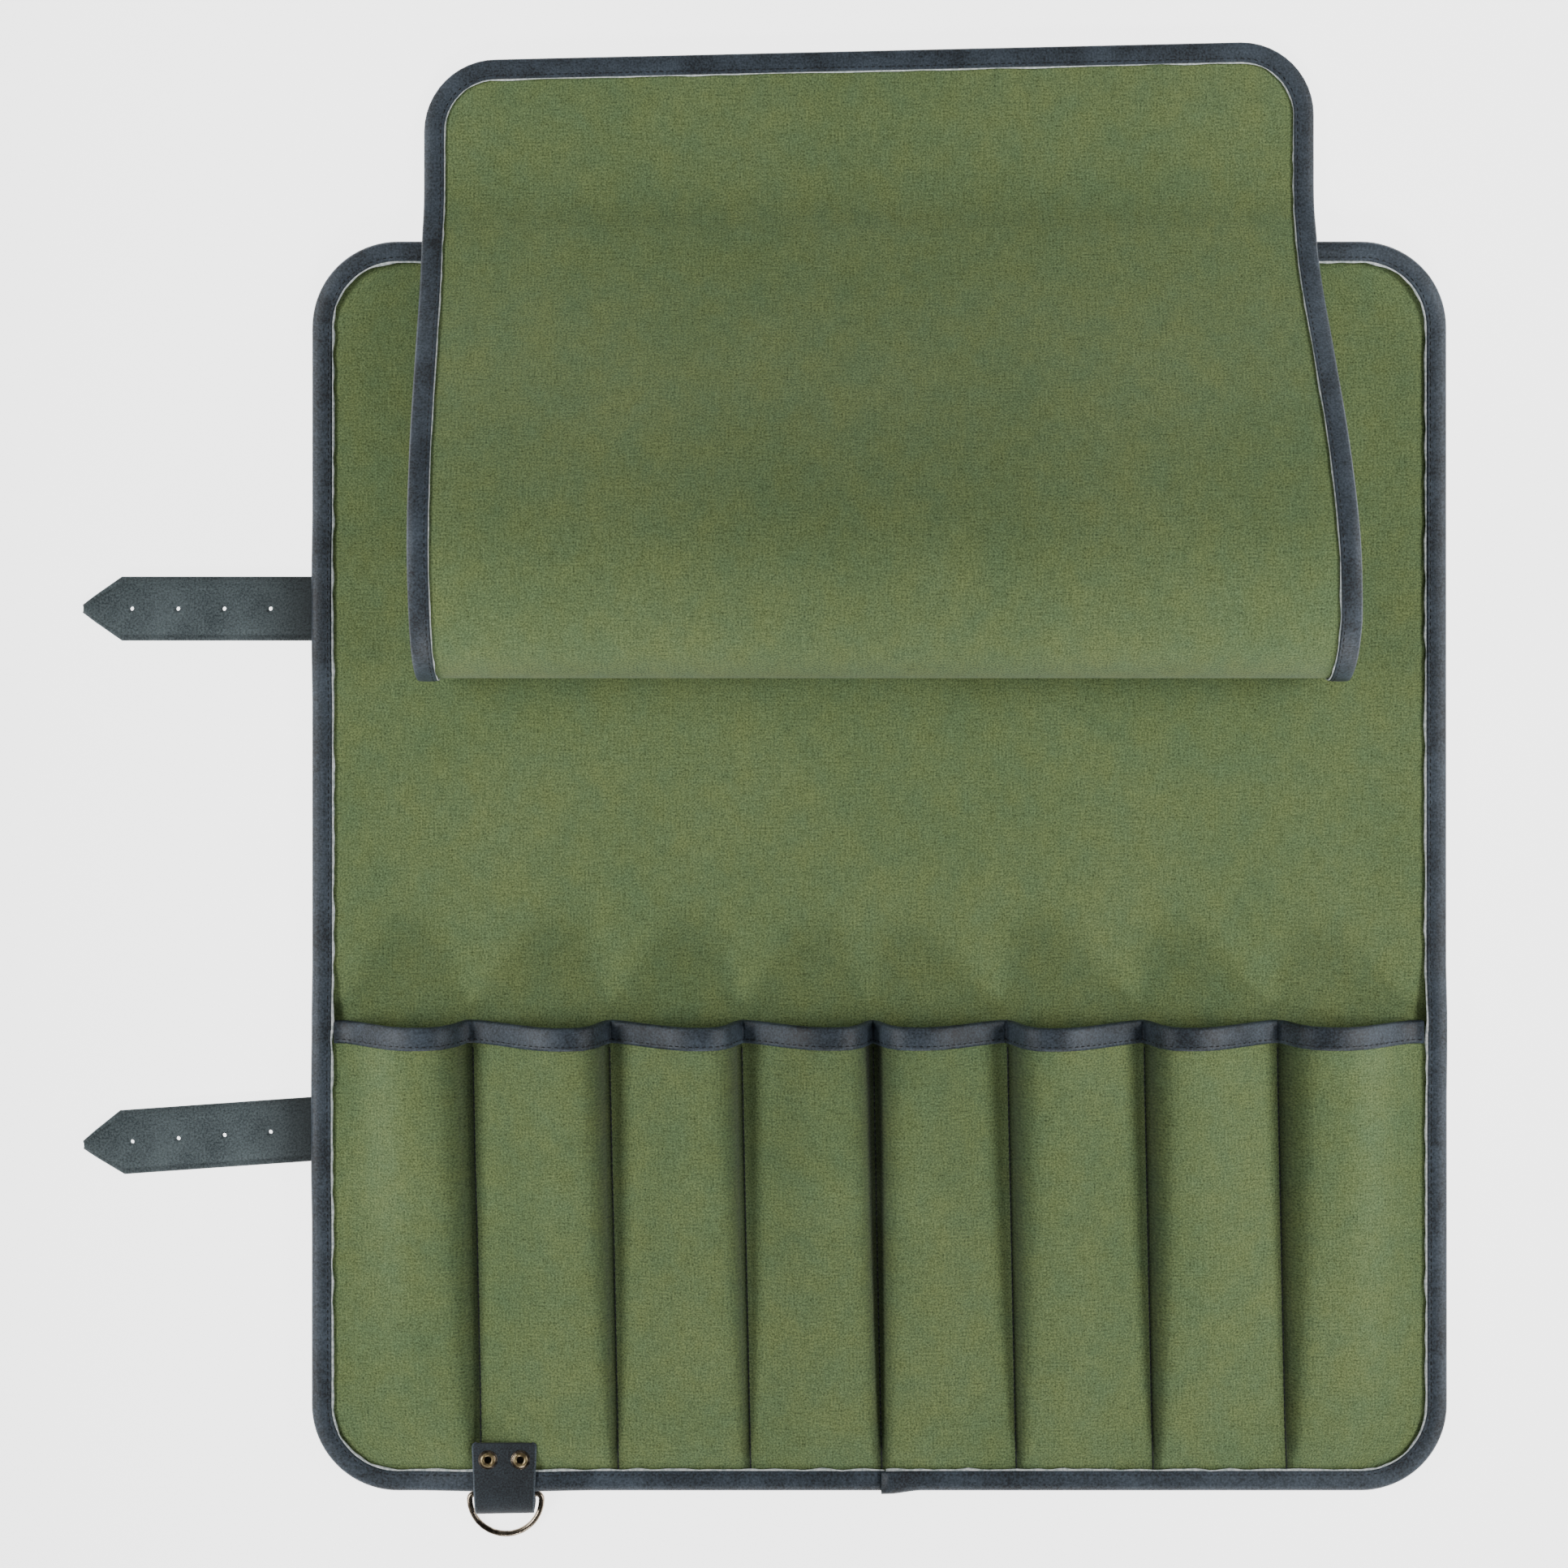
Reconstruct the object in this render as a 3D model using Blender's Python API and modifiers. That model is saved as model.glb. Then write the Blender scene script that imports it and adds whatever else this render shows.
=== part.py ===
"""Chef knife roll, lying open.

A waxed-canvas panel with eight pockets, a cover flap folded back on itself, leather binding,
two straps with their buckles, and a D-ring on a tab.

Metres, +Z up. The origin is on the flat underside of the panel, at its middle. +Y points to the
edge that carries the flap, and +X to the right as seen from above.
"""
import math

import bmesh
import bpy
from mathutils import Vector

MM = 0.001

# Cloth, leather and the clearance between pieces
GAP = 0.3 * MM
CANVAS = 1.0 * MM
PANEL_WALL = 1.6 * MM
LEATHER = 1.2 * MM
THIN_LEATHER = 1.0 * MM
SEAM_CLEAR = 0.6 * MM
MARGIN = 3.0 * MM
DRAPE = 20.0 * MM

# Panel, measured over its binding
PANEL_WIDTH = 498 * MM
PANEL_LENGTH = 548 * MM
CORNER = 38 * MM
BINDING = 9.0 * MM
BINDING_JOINT_X = 2.5 * MM
CORNER_STEPS = 5

# Pockets
POCKET_DEPTH = 206.5 * MM
POCKET_BINDING = 10.0 * MM
MOUTH_DIP = 2.0 * MM
PUFF = 20.0 * MM
PUFF_FADE = 0.6
POCKET_FOOT = 13.0 * MM
SEAM_SLANT = 4.0 * MM

# Each pocket from left to right. right: its right seam at the mouth, as a share of the panel's
# width from the left edge. crest: where it stands highest, as a share of the pocket. height: as
# a share of PUFF. flat_left, flat_right: the shares that lie flat beside the seams.
POCKETS = (
    {"right": 0.141, "crest": 0.62, "height": 0.95, "flat_left": 0.17, "flat_right": 0.05},
    {"right": 0.263, "crest": 0.66, "height": 1.00, "flat_left": 0.03, "flat_right": 0.03},
    {"right": 0.381, "crest": 0.66, "height": 0.95, "flat_left": 0.03, "flat_right": 0.03},
    {"right": 0.498, "crest": 0.65, "height": 0.90, "flat_left": 0.03, "flat_right": 0.03},
    {"right": 0.618, "crest": 0.35, "height": 0.90, "flat_left": 0.03, "flat_right": 0.03},
    {"right": 0.740, "crest": 0.34, "height": 1.00, "flat_left": 0.03, "flat_right": 0.03},
    {"right": 0.859, "crest": 0.34, "height": 0.95, "flat_left": 0.03, "flat_right": 0.03},
    {"right": 1.000, "crest": 0.37, "height": 0.90, "flat_left": 0.04, "flat_right": 0.17},
)

# Flap, along its own length from the sewn edge to the free end
FLAP_SET_IN = 49 * MM
FLAP_WIDTH = 391 * MM
FLAP_FLARE = 11 * MM
FLAP_REACH = 192 * MM
FLAP_BEYOND = 84 * MM
FLAP_SLANT = 9 * MM
FOLD_HEIGHT = 60 * MM
FLAP_CORNER = 32 * MM
FLAP_BINDING = 9.0 * MM
FLAP_STEPS = 3

# The flap's line seen from the side. reach: share of FLAP_REACH in from the panel's top edge,
# or of FLAP_BEYOND past it where negative. height: share of FOLD_HEIGHT above the resting level.
FLAP_LINE = (
    {"reach": 0.110, "height": 0.00},
    {"reach": 0.350, "height": 0.00},
    {"reach": 0.600, "height": 0.00},
    {"reach": 0.820, "height": 0.01},
    {"reach": 0.955, "height": 0.14},
    {"reach": 1.000, "height": 0.43},
    {"reach": 0.950, "height": 0.76},
    {"reach": 0.840, "height": 0.94},
    {"reach": 0.690, "height": 1.00},
    {"reach": 0.490, "height": 0.84},
    {"reach": 0.280, "height": 0.52},
    {"reach": 0.120, "height": 0.26},
    {"reach": 0.000, "height": 0.125},
    {"reach": -0.200, "height": 0.015},
    {"reach": -0.450, "height": 0.00},
    {"reach": -0.620, "height": 0.00},
)

# Straps and their buckles
STRAP_WIDTH = 27.5 * MM
STRAP = 1.8 * MM
STRAP_FREE = 100.7 * MM
STRAP_SEWN = 240 * MM
STRAP_POINT = 17 * MM
HOLE_RADIUS = 1.2 * MM
HOLE_PITCH = 20.3 * MM
FIRST_HOLE = 21.3 * MM
HOLES = 4
STRAP_UPPER_IN = 161.0 * MM
STRAP_LOWER_IN = 158.3 * MM
STRAP_LOWER_TURN = math.radians(4.0)
BUCKLE = 1.6 * MM
BUCKLE_WIDTH = 37 * MM
BUCKLE_PLATE = 24 * MM
BUCKLE_FRAME = 22 * MM
BUCKLE_BAR = 3.5 * MM
PRONG = 3.0 * MM

# Tab, eyelets and D-ring
TAB = 1.4 * MM
TAB_SET_IN = 85.0 * MM
TAB_WIDTH = 28.0 * MM
TAB_FOLD_WIDTH = 25.4 * MM
TAB_REACH = 22.0 * MM
TAB_LOOP = 9.4 * MM
EYELET_BORE = 1.45 * MM
EYELET_TUBE = 2.1 * MM
EYELET_FLANGE = 3.3 * MM
EYELET_DOME = 0.8 * MM
EYELET_SPACING = 14.2 * MM
EYELET_SET_IN = 7.2 * MM
RING_WIDTH = 34.0 * MM
RING_DEPTH = 20.5 * MM
RING_WIRE = 2.4 * MM
RING_CLEAR = 0.4 * MM

# Worked out from the sizes above
EDGE_INSET = LEATHER + 3 * GAP
POCKET_INSET = EDGE_INSET + LEATHER
MOUTH_INSET = THIN_LEATHER + 3 * GAP
PANEL_LEFT = -PANEL_WIDTH / 2
PANEL_TOP = PANEL_LENGTH / 2
STRAIGHT_X = PANEL_WIDTH / 2 - CORNER
STRAIGHT_Y = PANEL_LENGTH / 2 - CORNER
MOUTH_Y = POCKET_DEPTH - PANEL_TOP
FLAP_LEFT = PANEL_LEFT + FLAP_SET_IN
STRAP_UPPER_Y = PANEL_TOP - STRAP_UPPER_IN
STRAP_LOWER_Y = STRAP_LOWER_IN - PANEL_TOP
STRAP_END = PANEL_LEFT + STRAP_SEWN
BUCKLE_LOW = STRAP + GAP
BUCKLE_MID = STRAP_END + (BUCKLE_FRAME - BUCKLE_PLATE) / 2
BUCKLE_HALF = (BUCKLE_FRAME + BUCKLE_PLATE) / 2 + MARGIN
STRAP_HALF = BUCKLE_WIDTH / 2 + MARGIN / 2
TAB_X = PANEL_LEFT + TAB_SET_IN
TAB_TOP = TAB_REACH - PANEL_TOP
TAB_HALF = TAB_WIDTH / 2 + MARGIN
EYELET_Y = TAB_TOP - EYELET_SET_IN
FLAP_EDGE_Y = PANEL_TOP - BINDING - 2 * MARGIN
RING_AXIS_Y = -PANEL_TOP - RING_CLEAR - RING_WIRE / 2
RING_AXIS_Z = TAB + GAP + RING_WIRE / 2


def near(distance, full, fall):
    """1 up to the distance full, then falling evenly to 0 over fall."""
    return min(1.0, max(0.0, (full + fall - distance) / fall))


def ease(share):
    """0 to 1 with level ends."""
    share = min(1.0, max(0.0, share))
    return share * share * (3.0 - 2.0 * share)


def mix(low, high, share):
    return low + (high - low) * share


# What the panel lies on, and how high it lies

def inward(x, y):
    """Distance in from the panel's rounded outer edge."""
    past_x = abs(x) - STRAIGHT_X
    past_y = abs(y) - STRAIGHT_Y
    if past_x > 0 and past_y > 0:
        return CORNER - math.hypot(past_x, past_y)
    return CORNER - max(past_x, past_y)


def underneath(x, y):
    """Height of the strap, buckle or tab that lies under the panel at this place."""
    height = 0.0
    for strap_y in (STRAP_UPPER_Y, STRAP_LOWER_Y):
        beside = near(abs(y - strap_y), STRAP_HALF, DRAPE)
        strap = (STRAP + GAP) * near(x, BUCKLE_MID, DRAPE)
        buckle = (BUCKLE_LOW + BUCKLE + GAP) * near(abs(x - BUCKLE_MID), BUCKLE_HALF, DRAPE)
        height = max(height, beside * strap, beside * buckle)
    tab = (TAB + GAP) * near(abs(x - TAB_X), TAB_HALF, DRAPE) * near(y - TAB_TOP, MARGIN, DRAPE)
    return max(height, tab)


def lift(x, y):
    """Height of the panel's underside, which also climbs over its binding's lower leaf."""
    return underneath(x, y) + (LEATHER + GAP) * near(inward(x, y), BINDING + MARGIN, DRAPE)


def panel_top(x, y):
    return lift(x, y) + PANEL_WALL


def edge_stack(y):
    """Thickness of what the binding holds down on the panel: pocket sheet or flap."""
    sheet = (CANVAS + SEAM_CLEAR) * near(y, MOUTH_Y + MARGIN, DRAPE)
    mouth_mid = MOUTH_Y - POCKET_BINDING / 2
    mouth = (THIN_LEATHER + GAP) * near(abs(y - mouth_mid), POCKET_BINDING / 2 + MARGIN, DRAPE)
    flap = (CANVAS + GAP) * near(-y, -FLAP_EDGE_Y, DRAPE)
    return max(sheet + mouth, flap)


def binding_seat(x, y):
    """Height of the underside of the binding's upper leaf."""
    return panel_top(x, y) + edge_stack(y) + SEAM_CLEAR


# Shared ways of making a piece

def linear(hex_colour):
    """sRGB hex to the linear colour that a shader takes."""
    channels = [int(hex_colour[i:i + 2], 16) / 255 for i in (0, 2, 4)]
    return [c / 12.92 if c <= 0.04045 else ((c + 0.055) / 1.055) ** 2.4 for c in channels] + [1.0]


def finish(name, hex_colour, roughness, metallic=0.0):
    material = bpy.data.materials.new(name)
    material.use_nodes = True
    shader = material.node_tree.nodes["Principled BSDF"]
    shader.inputs["Base Color"].default_value = linear(hex_colour)
    shader.inputs["Roughness"].default_value = roughness
    shader.inputs["Metallic"].default_value = metallic
    return material


def add_object(name, data, material, collection):
    piece = bpy.data.objects.new(name, data)
    if material:
        data.materials.append(material)
    collection.objects.link(piece)
    return piece


def add_sheet(name, across, along, place, wall, material):
    """A grid of across by along points, each put where place(i, j) says, given a wall."""
    grid = bmesh.new()
    bmesh.ops.create_grid(grid, x_segments=across - 1, y_segments=along - 1, size=1.0)
    for vertex in grid.verts:
        i = round((vertex.co.x + 1) / 2 * (across - 1))
        j = round((vertex.co.y + 1) / 2 * (along - 1))
        vertex.co = place(i, j)
    mesh = bpy.data.meshes.new(name)
    grid.to_mesh(mesh)
    grid.free()
    piece = add_object(name, mesh, material, parts)
    solidify = piece.modifiers.new("wall", "SOLIDIFY")
    solidify.thickness = wall
    solidify.offset = 0.0
    solidify.use_even_offset = True
    return piece


def add_plate(name, outlines, bottom, thickness, material):
    """A flat piece from closed outlines, the first one outside and the others its holes."""
    curve = bpy.data.curves.new(name, "CURVE")
    curve.dimensions = "2D"
    curve.fill_mode = "BOTH"
    curve.extrude = thickness / 2
    for outline in outlines:
        spline = curve.splines.new("POLY")
        spline.points.add(len(outline) - 1)
        for point, (x, y) in zip(spline.points, outline):
            point.co = (x, y, 0.0, 1.0)
        spline.use_cyclic_u = True
    piece = add_object(name, curve, material, parts)
    piece.location.z = bottom + thickness / 2
    return piece


def arc(centre, radius, start, end, steps):
    """Points of an arc, with its angles in degrees."""
    angles = [math.radians(mix(start, end, k / steps)) for k in range(steps + 1)]
    return [(centre[0] + radius * math.cos(a), centre[1] + radius * math.sin(a)) for a in angles]


def binding_profile(width, half_stack, leather):
    """The binding's folded section: how far in from its outer face, and height from the middle
    of what it holds, from the lower lip round the fold to the upper lip."""
    shoulder = leather + half_stack * 0.25
    return ((width, -1), (shoulder, -1), (leather / 2, 0), (shoulder, 1), (width, 1))


# Panel

def half_width(y, inset):
    """Half the panel's width at y, for an outline set in from the outer edge."""
    past = abs(y) - STRAIGHT_Y
    if past <= 0:
        return PANEL_WIDTH / 2 - inset
    return STRAIGHT_X + math.sqrt(max(0.0, (CORNER - inset) ** 2 - past ** 2))


def corner_rows(inset, angles):
    """Heights of the rows that follow the round corners, from the straight side outwards."""
    return [STRAIGHT_Y + (CORNER - inset) * math.sin(math.radians(a)) for a in angles]


def squeeze(x, y, inset):
    """Draws the outer columns in where the corners round the outline."""
    settled = abs(TAB_X) + TAB_HALF
    full = PANEL_WIDTH / 2 - inset
    if abs(x) <= settled:
        return x
    share = (abs(x) - settled) / (full - settled)
    return math.copysign(mix(settled, half_width(y, inset), share), x)


def make_panel():
    edge = PANEL_WIDTH / 2 - EDGE_INSET
    sewn = PANEL_WIDTH / 2 - BINDING - MARGIN
    columns = [-edge, -sewn, -sewn + DRAPE]
    columns += [TAB_X - TAB_HALF - DRAPE, TAB_X - TAB_HALF, TAB_X + TAB_HALF]
    columns += [TAB_X + TAB_HALF + DRAPE]
    columns += [mix(TAB_X + TAB_HALF + DRAPE, BUCKLE_MID - BUCKLE_HALF - DRAPE, 0.5)]
    columns += [BUCKLE_MID - BUCKLE_HALF - DRAPE, BUCKLE_MID - BUCKLE_HALF]
    columns += [BUCKLE_MID + BUCKLE_HALF, BUCKLE_MID + BUCKLE_HALF + DRAPE]
    last = columns[-1]
    columns += [mix(last, sewn - DRAPE, k / 4) for k in (1, 2, 3)]
    columns += [sewn - DRAPE, sewn, edge]
    angles = [90 * k / CORNER_STEPS for k in range(CORNER_STEPS + 1)]
    round_rows = corner_rows(EDGE_INSET, angles)
    rows = [-y for y in reversed(round_rows)]
    for strap_y in (STRAP_LOWER_Y, STRAP_UPPER_Y):
        rows += [strap_y - STRAP_HALF - DRAPE, strap_y - STRAP_HALF]
        rows += [strap_y + STRAP_HALF, strap_y + STRAP_HALF + DRAPE]
    rows += [0.0, mix(STRAP_LOWER_Y, -STRAIGHT_Y, 0.7), mix(STRAP_UPPER_Y, STRAIGHT_Y, 0.7)]
    rows = sorted(rows + round_rows)

    def place(i, j):
        y = rows[j]
        x = squeeze(columns[i], y, EDGE_INSET)
        return (x, y, lift(x, y) + PANEL_WALL / 2)

    return add_sheet("panel", len(columns), len(rows), place, PANEL_WALL, canvas)


def outline_stations():
    """Places round the panel's outer edge, each with its outward direction, from the joint in
    the bottom edge anticlockwise back to it."""
    side = []
    for strap_y in (STRAP_LOWER_Y, STRAP_UPPER_Y):
        side += [strap_y - STRAP_HALF - DRAPE, strap_y - STRAP_HALF]
        side += [strap_y + STRAP_HALF, strap_y + STRAP_HALF + DRAPE]
    mouth_foot = MOUTH_Y - POCKET_BINDING - MARGIN
    stack_side = [MOUTH_Y + MARGIN + DRAPE, MOUTH_Y + MARGIN, mouth_foot, mouth_foot - DRAPE]
    bottom = [TAB_X - TAB_HALF - DRAPE, TAB_X - TAB_HALF, TAB_X + TAB_HALF]
    bottom += [TAB_X + TAB_HALF + DRAPE]
    left_side = sorted(side + stack_side, reverse=True)
    right_side = sorted(stack_side)
    steps = [90 * k / CORNER_STEPS for k in range(CORNER_STEPS + 1)]
    half_joint = GAP
    stations = [(BINDING_JOINT_X + half_joint, -PANEL_TOP, 0, -1)]
    for quarter, (sign_x, sign_y) in enumerate(((1, -1), (1, 1), (-1, 1), (-1, -1))):
        for step in steps:
            angle = math.radians(-90 + 90 * quarter + step)
            out_x, out_y = math.cos(angle), math.sin(angle)
            x = sign_x * STRAIGHT_X + CORNER * out_x
            y = sign_y * STRAIGHT_Y + CORNER * out_y
            stations.append((x, y, out_x, out_y))
        if quarter == 0:
            stations += [(PANEL_WIDTH / 2, y, 1, 0) for y in right_side]
        if quarter == 2:
            stations += [(PANEL_LEFT, y, -1, 0) for y in left_side]
    stations += [(x, -PANEL_TOP, 0, -1) for x in bottom if x > -STRAIGHT_X]
    stations.append((BINDING_JOINT_X - half_joint, -PANEL_TOP, 0, -1))
    return stations


def make_panel_binding():
    stations = outline_stations()
    profile = binding_profile(BINDING, PANEL_WALL, LEATHER)

    def place(i, j):
        x, y, out_x, out_y = stations[i]
        inset, side = profile[j]
        low = underneath(x, y) + LEATHER / 2
        high = binding_seat(x, y) + LEATHER / 2
        height = mix(low, high, (side + 1) / 2)
        return (x - out_x * inset, y - out_y * inset, height)

    return add_sheet("panel_binding", len(stations), len(profile), place, LEATHER, leather)


# Pockets

def pocket_columns():
    """Stations across the pocket sheet: (seam-to-seam share, pocket, left seam, right seam)."""
    columns = []
    left = 0.0
    lip = BINDING / PANEL_WIDTH
    for number, pocket in enumerate(POCKETS):
        start, crest, end = pocket["flat_left"], pocket["crest"], 1 - pocket["flat_right"]
        shares = [0.0, start, mix(start, crest, 0.5), crest, mix(crest, end, 0.5), end]
        width = pocket["right"] - left
        if number == 0:
            shares.insert(1, (lip + (GAP / PANEL_WIDTH)) / width)
        if number == len(POCKETS) - 1:
            shares.append(1 - (lip + (GAP / PANEL_WIDTH)) / width)
            shares.append(1.0)
        columns += [(share, pocket, left, pocket["right"]) for share in shares]
        left = pocket["right"]
    return columns


def pocket_rise(share, pocket):
    """How far the pocket stands up across its width, from 0 at the seams to its crest."""
    start, crest, end = pocket["flat_left"], pocket["crest"], 1 - pocket["flat_right"]
    if share <= crest:
        rise = ease((share - start) / (crest - start))
    else:
        rise = ease((end - share) / (end - crest))
    return rise * pocket["height"]


def pocket_point(column, y, inset=POCKET_INSET):
    """A point of the pocket sheet's middle surface, before any dip of the mouth."""
    share, pocket, left, right = column
    depth = (MOUTH_Y - y) / (MOUTH_Y + PANEL_TOP - POCKET_FOOT)
    full = PANEL_WIDTH - 2 * inset
    x = -full / 2 + full * mix(left, right, share)
    inner = min(1.0, (full / 2 - abs(x)) / (PANEL_WIDTH / 8))
    x += (depth - 0.5) * SEAM_SLANT * inner
    x = squeeze(x, y, inset)
    rise = pocket_rise(share, pocket) * PUFF * max(0.0, 1 - depth) ** PUFF_FADE
    over_binding = (THIN_LEATHER + GAP) * near(MOUTH_Y - y, POCKET_BINDING + 2 * GAP, DRAPE * 0.8)
    base = panel_top(x, y) + SEAM_CLEAR + CANVAS / 2
    return Vector((x, y, base + over_binding + rise))


def mouth_point(column, below=0.0):
    """A point of the mouth's edge, or this far down the sheet from it."""
    dip = MOUTH_DIP * pocket_rise(column[0], column[1])
    point = pocket_point(column, MOUTH_Y - MOUTH_INSET - below)
    return point - Vector((0, dip, 0))


def make_pocket_sheet():
    columns = pocket_columns()
    bound = POCKET_BINDING + 2 * GAP
    rows = [STRAP_LOWER_Y + STRAP_HALF, STRAP_LOWER_Y, STRAP_LOWER_Y - STRAP_HALF]
    rows += [STRAP_LOWER_Y - STRAP_HALF - DRAPE, mix(STRAP_LOWER_Y, -STRAIGHT_Y, 0.7)]
    rows += [-y for y in corner_rows(POCKET_INSET, (0, 35, 65, 90))]

    def place(i, j):
        if j < 2:
            return mouth_point(columns[i], (bound - MOUTH_INSET) * j)
        return pocket_point(columns[i], rows[j - 2])

    return add_sheet("pocket_sheet", len(columns), len(rows) + 2, place, CANVAS, canvas)


def make_pocket_binding():
    columns = pocket_columns()[1:-1]
    profile = binding_profile(POCKET_BINDING, CANVAS, THIN_LEATHER)
    off = CANVAS / 2 + GAP + THIN_LEATHER / 2
    edges = [mouth_point(column) for column in columns]
    feet = [mouth_point(column, POCKET_BINDING - MOUTH_INSET) for column in columns]

    def place(i, j):
        here = min(max(i, 1), len(edges) - 2)
        back = (edges[here] - edges[here - 1]).normalized()
        ahead = (edges[here + 1] - edges[here]).normalized()
        down = (feet[i] - edges[i]).normalized()
        across = back + ahead
        normal = down.cross(across).normalized() * (2 / across.length)
        inset, side = profile[j]
        return edges[i] + down * (inset - MOUTH_INSET) + normal * (off * side)

    return add_sheet("pocket_binding", len(columns), len(profile), place, THIN_LEATHER, leather)


# Flap

def smooth_line(points, steps):
    """Points of a smooth curve through the given ones, steps to each stretch."""
    ends = [points[0]] + list(points) + [points[-1]]
    line = []
    for before, start, end, after in zip(ends, ends[1:], ends[2:], ends[3:]):
        for k in range(steps):
            t = k / steps
            line.append(tuple(
                0.5 * (2 * b + (c - a) * t + (2 * a - 5 * b + 4 * c - d) * t ** 2
                       + (3 * b - a - 3 * c + d) * t ** 3)
                for a, b, c, d in zip(before, start, end, after)))
    line.append(tuple(points[-1]))
    return line


def flap_line():
    """The flap's middle line from its sewn edge: (y, height, how much it lies on the panel)."""
    bound = THIN_LEATHER + GAP
    on_panel = PANEL_WALL + 3 * GAP + bound + CANVAS / 2
    on_table = bound + CANVAS / 2
    folded = []
    lying = True
    for row in FLAP_LINE:
        lying = lying and row["height"] < 0.1
        beyond = row["reach"] <= 0
        reach = row["reach"] * (FLAP_BEYOND if beyond else FLAP_REACH)
        rest = on_panel if lying else on_table
        height = rest + row["height"] * (FOLD_HEIGHT - rest)
        folded.append((PANEL_TOP - reach, height, 1.0 if lying else 0.0))
    sewn = PANEL_WALL + GAP + CANVAS / 2
    start = [(PANEL_TOP - BINDING / 2, sewn, 1.0), (FLAP_EDGE_Y + MARGIN, sewn, 1.0)]
    end = [(PANEL_TOP + FLAP_BEYOND, on_table, 0.0)]
    return start + smooth_line(folded, FLAP_STEPS) + end


def lengths(line):
    """Distance along the line to each of its points."""
    total = [0.0]
    for (y, z, _), (next_y, next_z, _) in zip(line, line[1:]):
        total.append(total[-1] + math.hypot(next_y - y, next_z - z))
    return total


def flap_point(x, along, off=0.0):
    """A point on the flap at x, this far along it, and this far off its middle surface."""
    k = 1
    while k < len(FLAP_LENGTHS) - 1 and FLAP_LENGTHS[k] < along:
        k += 1
    share = (along - FLAP_LENGTHS[k - 1]) / (FLAP_LENGTHS[k] - FLAP_LENGTHS[k - 1])
    y, z, lying = (mix(a, b, share) for a, b in zip(FLAP_POINTS[k - 1], FLAP_POINTS[k]))
    normal_y, normal_z = (mix(a, b, share) for a, b in zip(FLAP_NORMALS[k - 1], FLAP_NORMALS[k]))
    size = math.hypot(normal_y, normal_z)
    z += lift(x, y) * lying
    return Vector((x, y + off * normal_y / size, z + off * normal_z / size))


def line_normals(line):
    """Directions square to the line at each point, on its outer side."""
    normals = []
    for k in range(len(line)):
        before, after = line[max(0, k - 1)], line[min(len(line) - 1, k + 1)]
        y, z = after[0] - before[0], after[1] - before[1]
        size = math.hypot(y, z)
        normals.append((z / size, -y / size))
    return normals


def flap_edges(along):
    """The flap's left and right edges over its binding, widest at the fold."""
    fold = FLAP_LENGTHS[FLAP_FOLD]
    flare = FLAP_FLARE * near(abs(along - fold) / FLAP_REACH, 0.2, 0.9)
    return FLAP_LEFT, FLAP_LEFT + FLAP_WIDTH + flare


def flap_length(x):
    """Where the free end lies along the flap, which runs further on the right."""
    return FLAP_LENGTHS[-1] + FLAP_SLANT * ((x - FLAP_LEFT) / FLAP_WIDTH - 0.5)


def flap_outline_corner(side, angle, inset):
    """A point (x, along) of the free end's round corner; side is -1 left and 1 right."""
    x = (FLAP_LEFT if side < 0 else FLAP_LEFT + FLAP_WIDTH) - side * FLAP_CORNER
    radius = FLAP_CORNER - inset
    out_x, out_along = side * math.cos(angle), math.sin(angle)
    return (x + radius * out_x, flap_length(x) - FLAP_CORNER + radius * out_along)


def make_flap():
    inset = THIN_LEATHER + 3 * GAP
    shares = (0.0, 0.035, 0.18, 0.34, 0.5, 0.66, 0.82, 0.965, 1.0)
    angles = [math.radians(90 * k / CORNER_STEPS) for k in range(CORNER_STEPS + 1)]
    rows = [along for along in FLAP_LENGTHS if along < flap_length(FLAP_LEFT) - FLAP_CORNER]
    rows = rows[:-1]
    straight = len(rows)

    def place(i, j):
        if j < straight:
            left, right = flap_edges(rows[j])
            return flap_point(mix(left + inset, right - inset, shares[i]), rows[j])
        angle = angles[j - straight]
        left = flap_outline_corner(-1, angle, inset)
        right = flap_outline_corner(1, angle, inset)
        return flap_point(mix(left[0], right[0], shares[i]), mix(left[1], right[1], shares[i]))

    return add_sheet("flap", len(shares), straight + len(angles), place, CANVAS, canvas)


def make_flap_binding():
    profile = binding_profile(FLAP_BINDING, CANVAS, THIN_LEATHER)
    off = CANVAS / 2 + GAP + THIN_LEATHER / 2
    first = FLAP_EDGE_Y - DRAPE / 2
    begin = next(k for k, point in enumerate(FLAP_POINTS) if point[0] < first)
    rows = [along for along in FLAP_LENGTHS[begin:]
            if along < flap_length(FLAP_LEFT) - FLAP_CORNER][:-1]
    angles = [math.radians(90 * k / CORNER_STEPS) for k in range(CORNER_STEPS + 1)]

    def left_row(along, inset):
        return (flap_edges(along)[0] + inset, along)

    def right_row(along, inset):
        return (flap_edges(along)[1] - inset, along)

    stations = [(left_row, along) for along in rows]
    stations += [(lambda angle, inset: flap_outline_corner(-1, angle, inset), a) for a in angles]
    stations += [(lambda angle, inset: flap_outline_corner(1, angle, inset), a)
                 for a in reversed(angles)]
    stations += [(right_row, along) for along in reversed(rows)]

    def place(i, j):
        flat_place, where = stations[i]
        inset, side = profile[j]
        x, along = flat_place(where, inset)
        return flap_point(x, along, off * side)

    return add_sheet("flap_binding", len(stations), len(profile), place, THIN_LEATHER, leather)


# Straps and buckles

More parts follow.
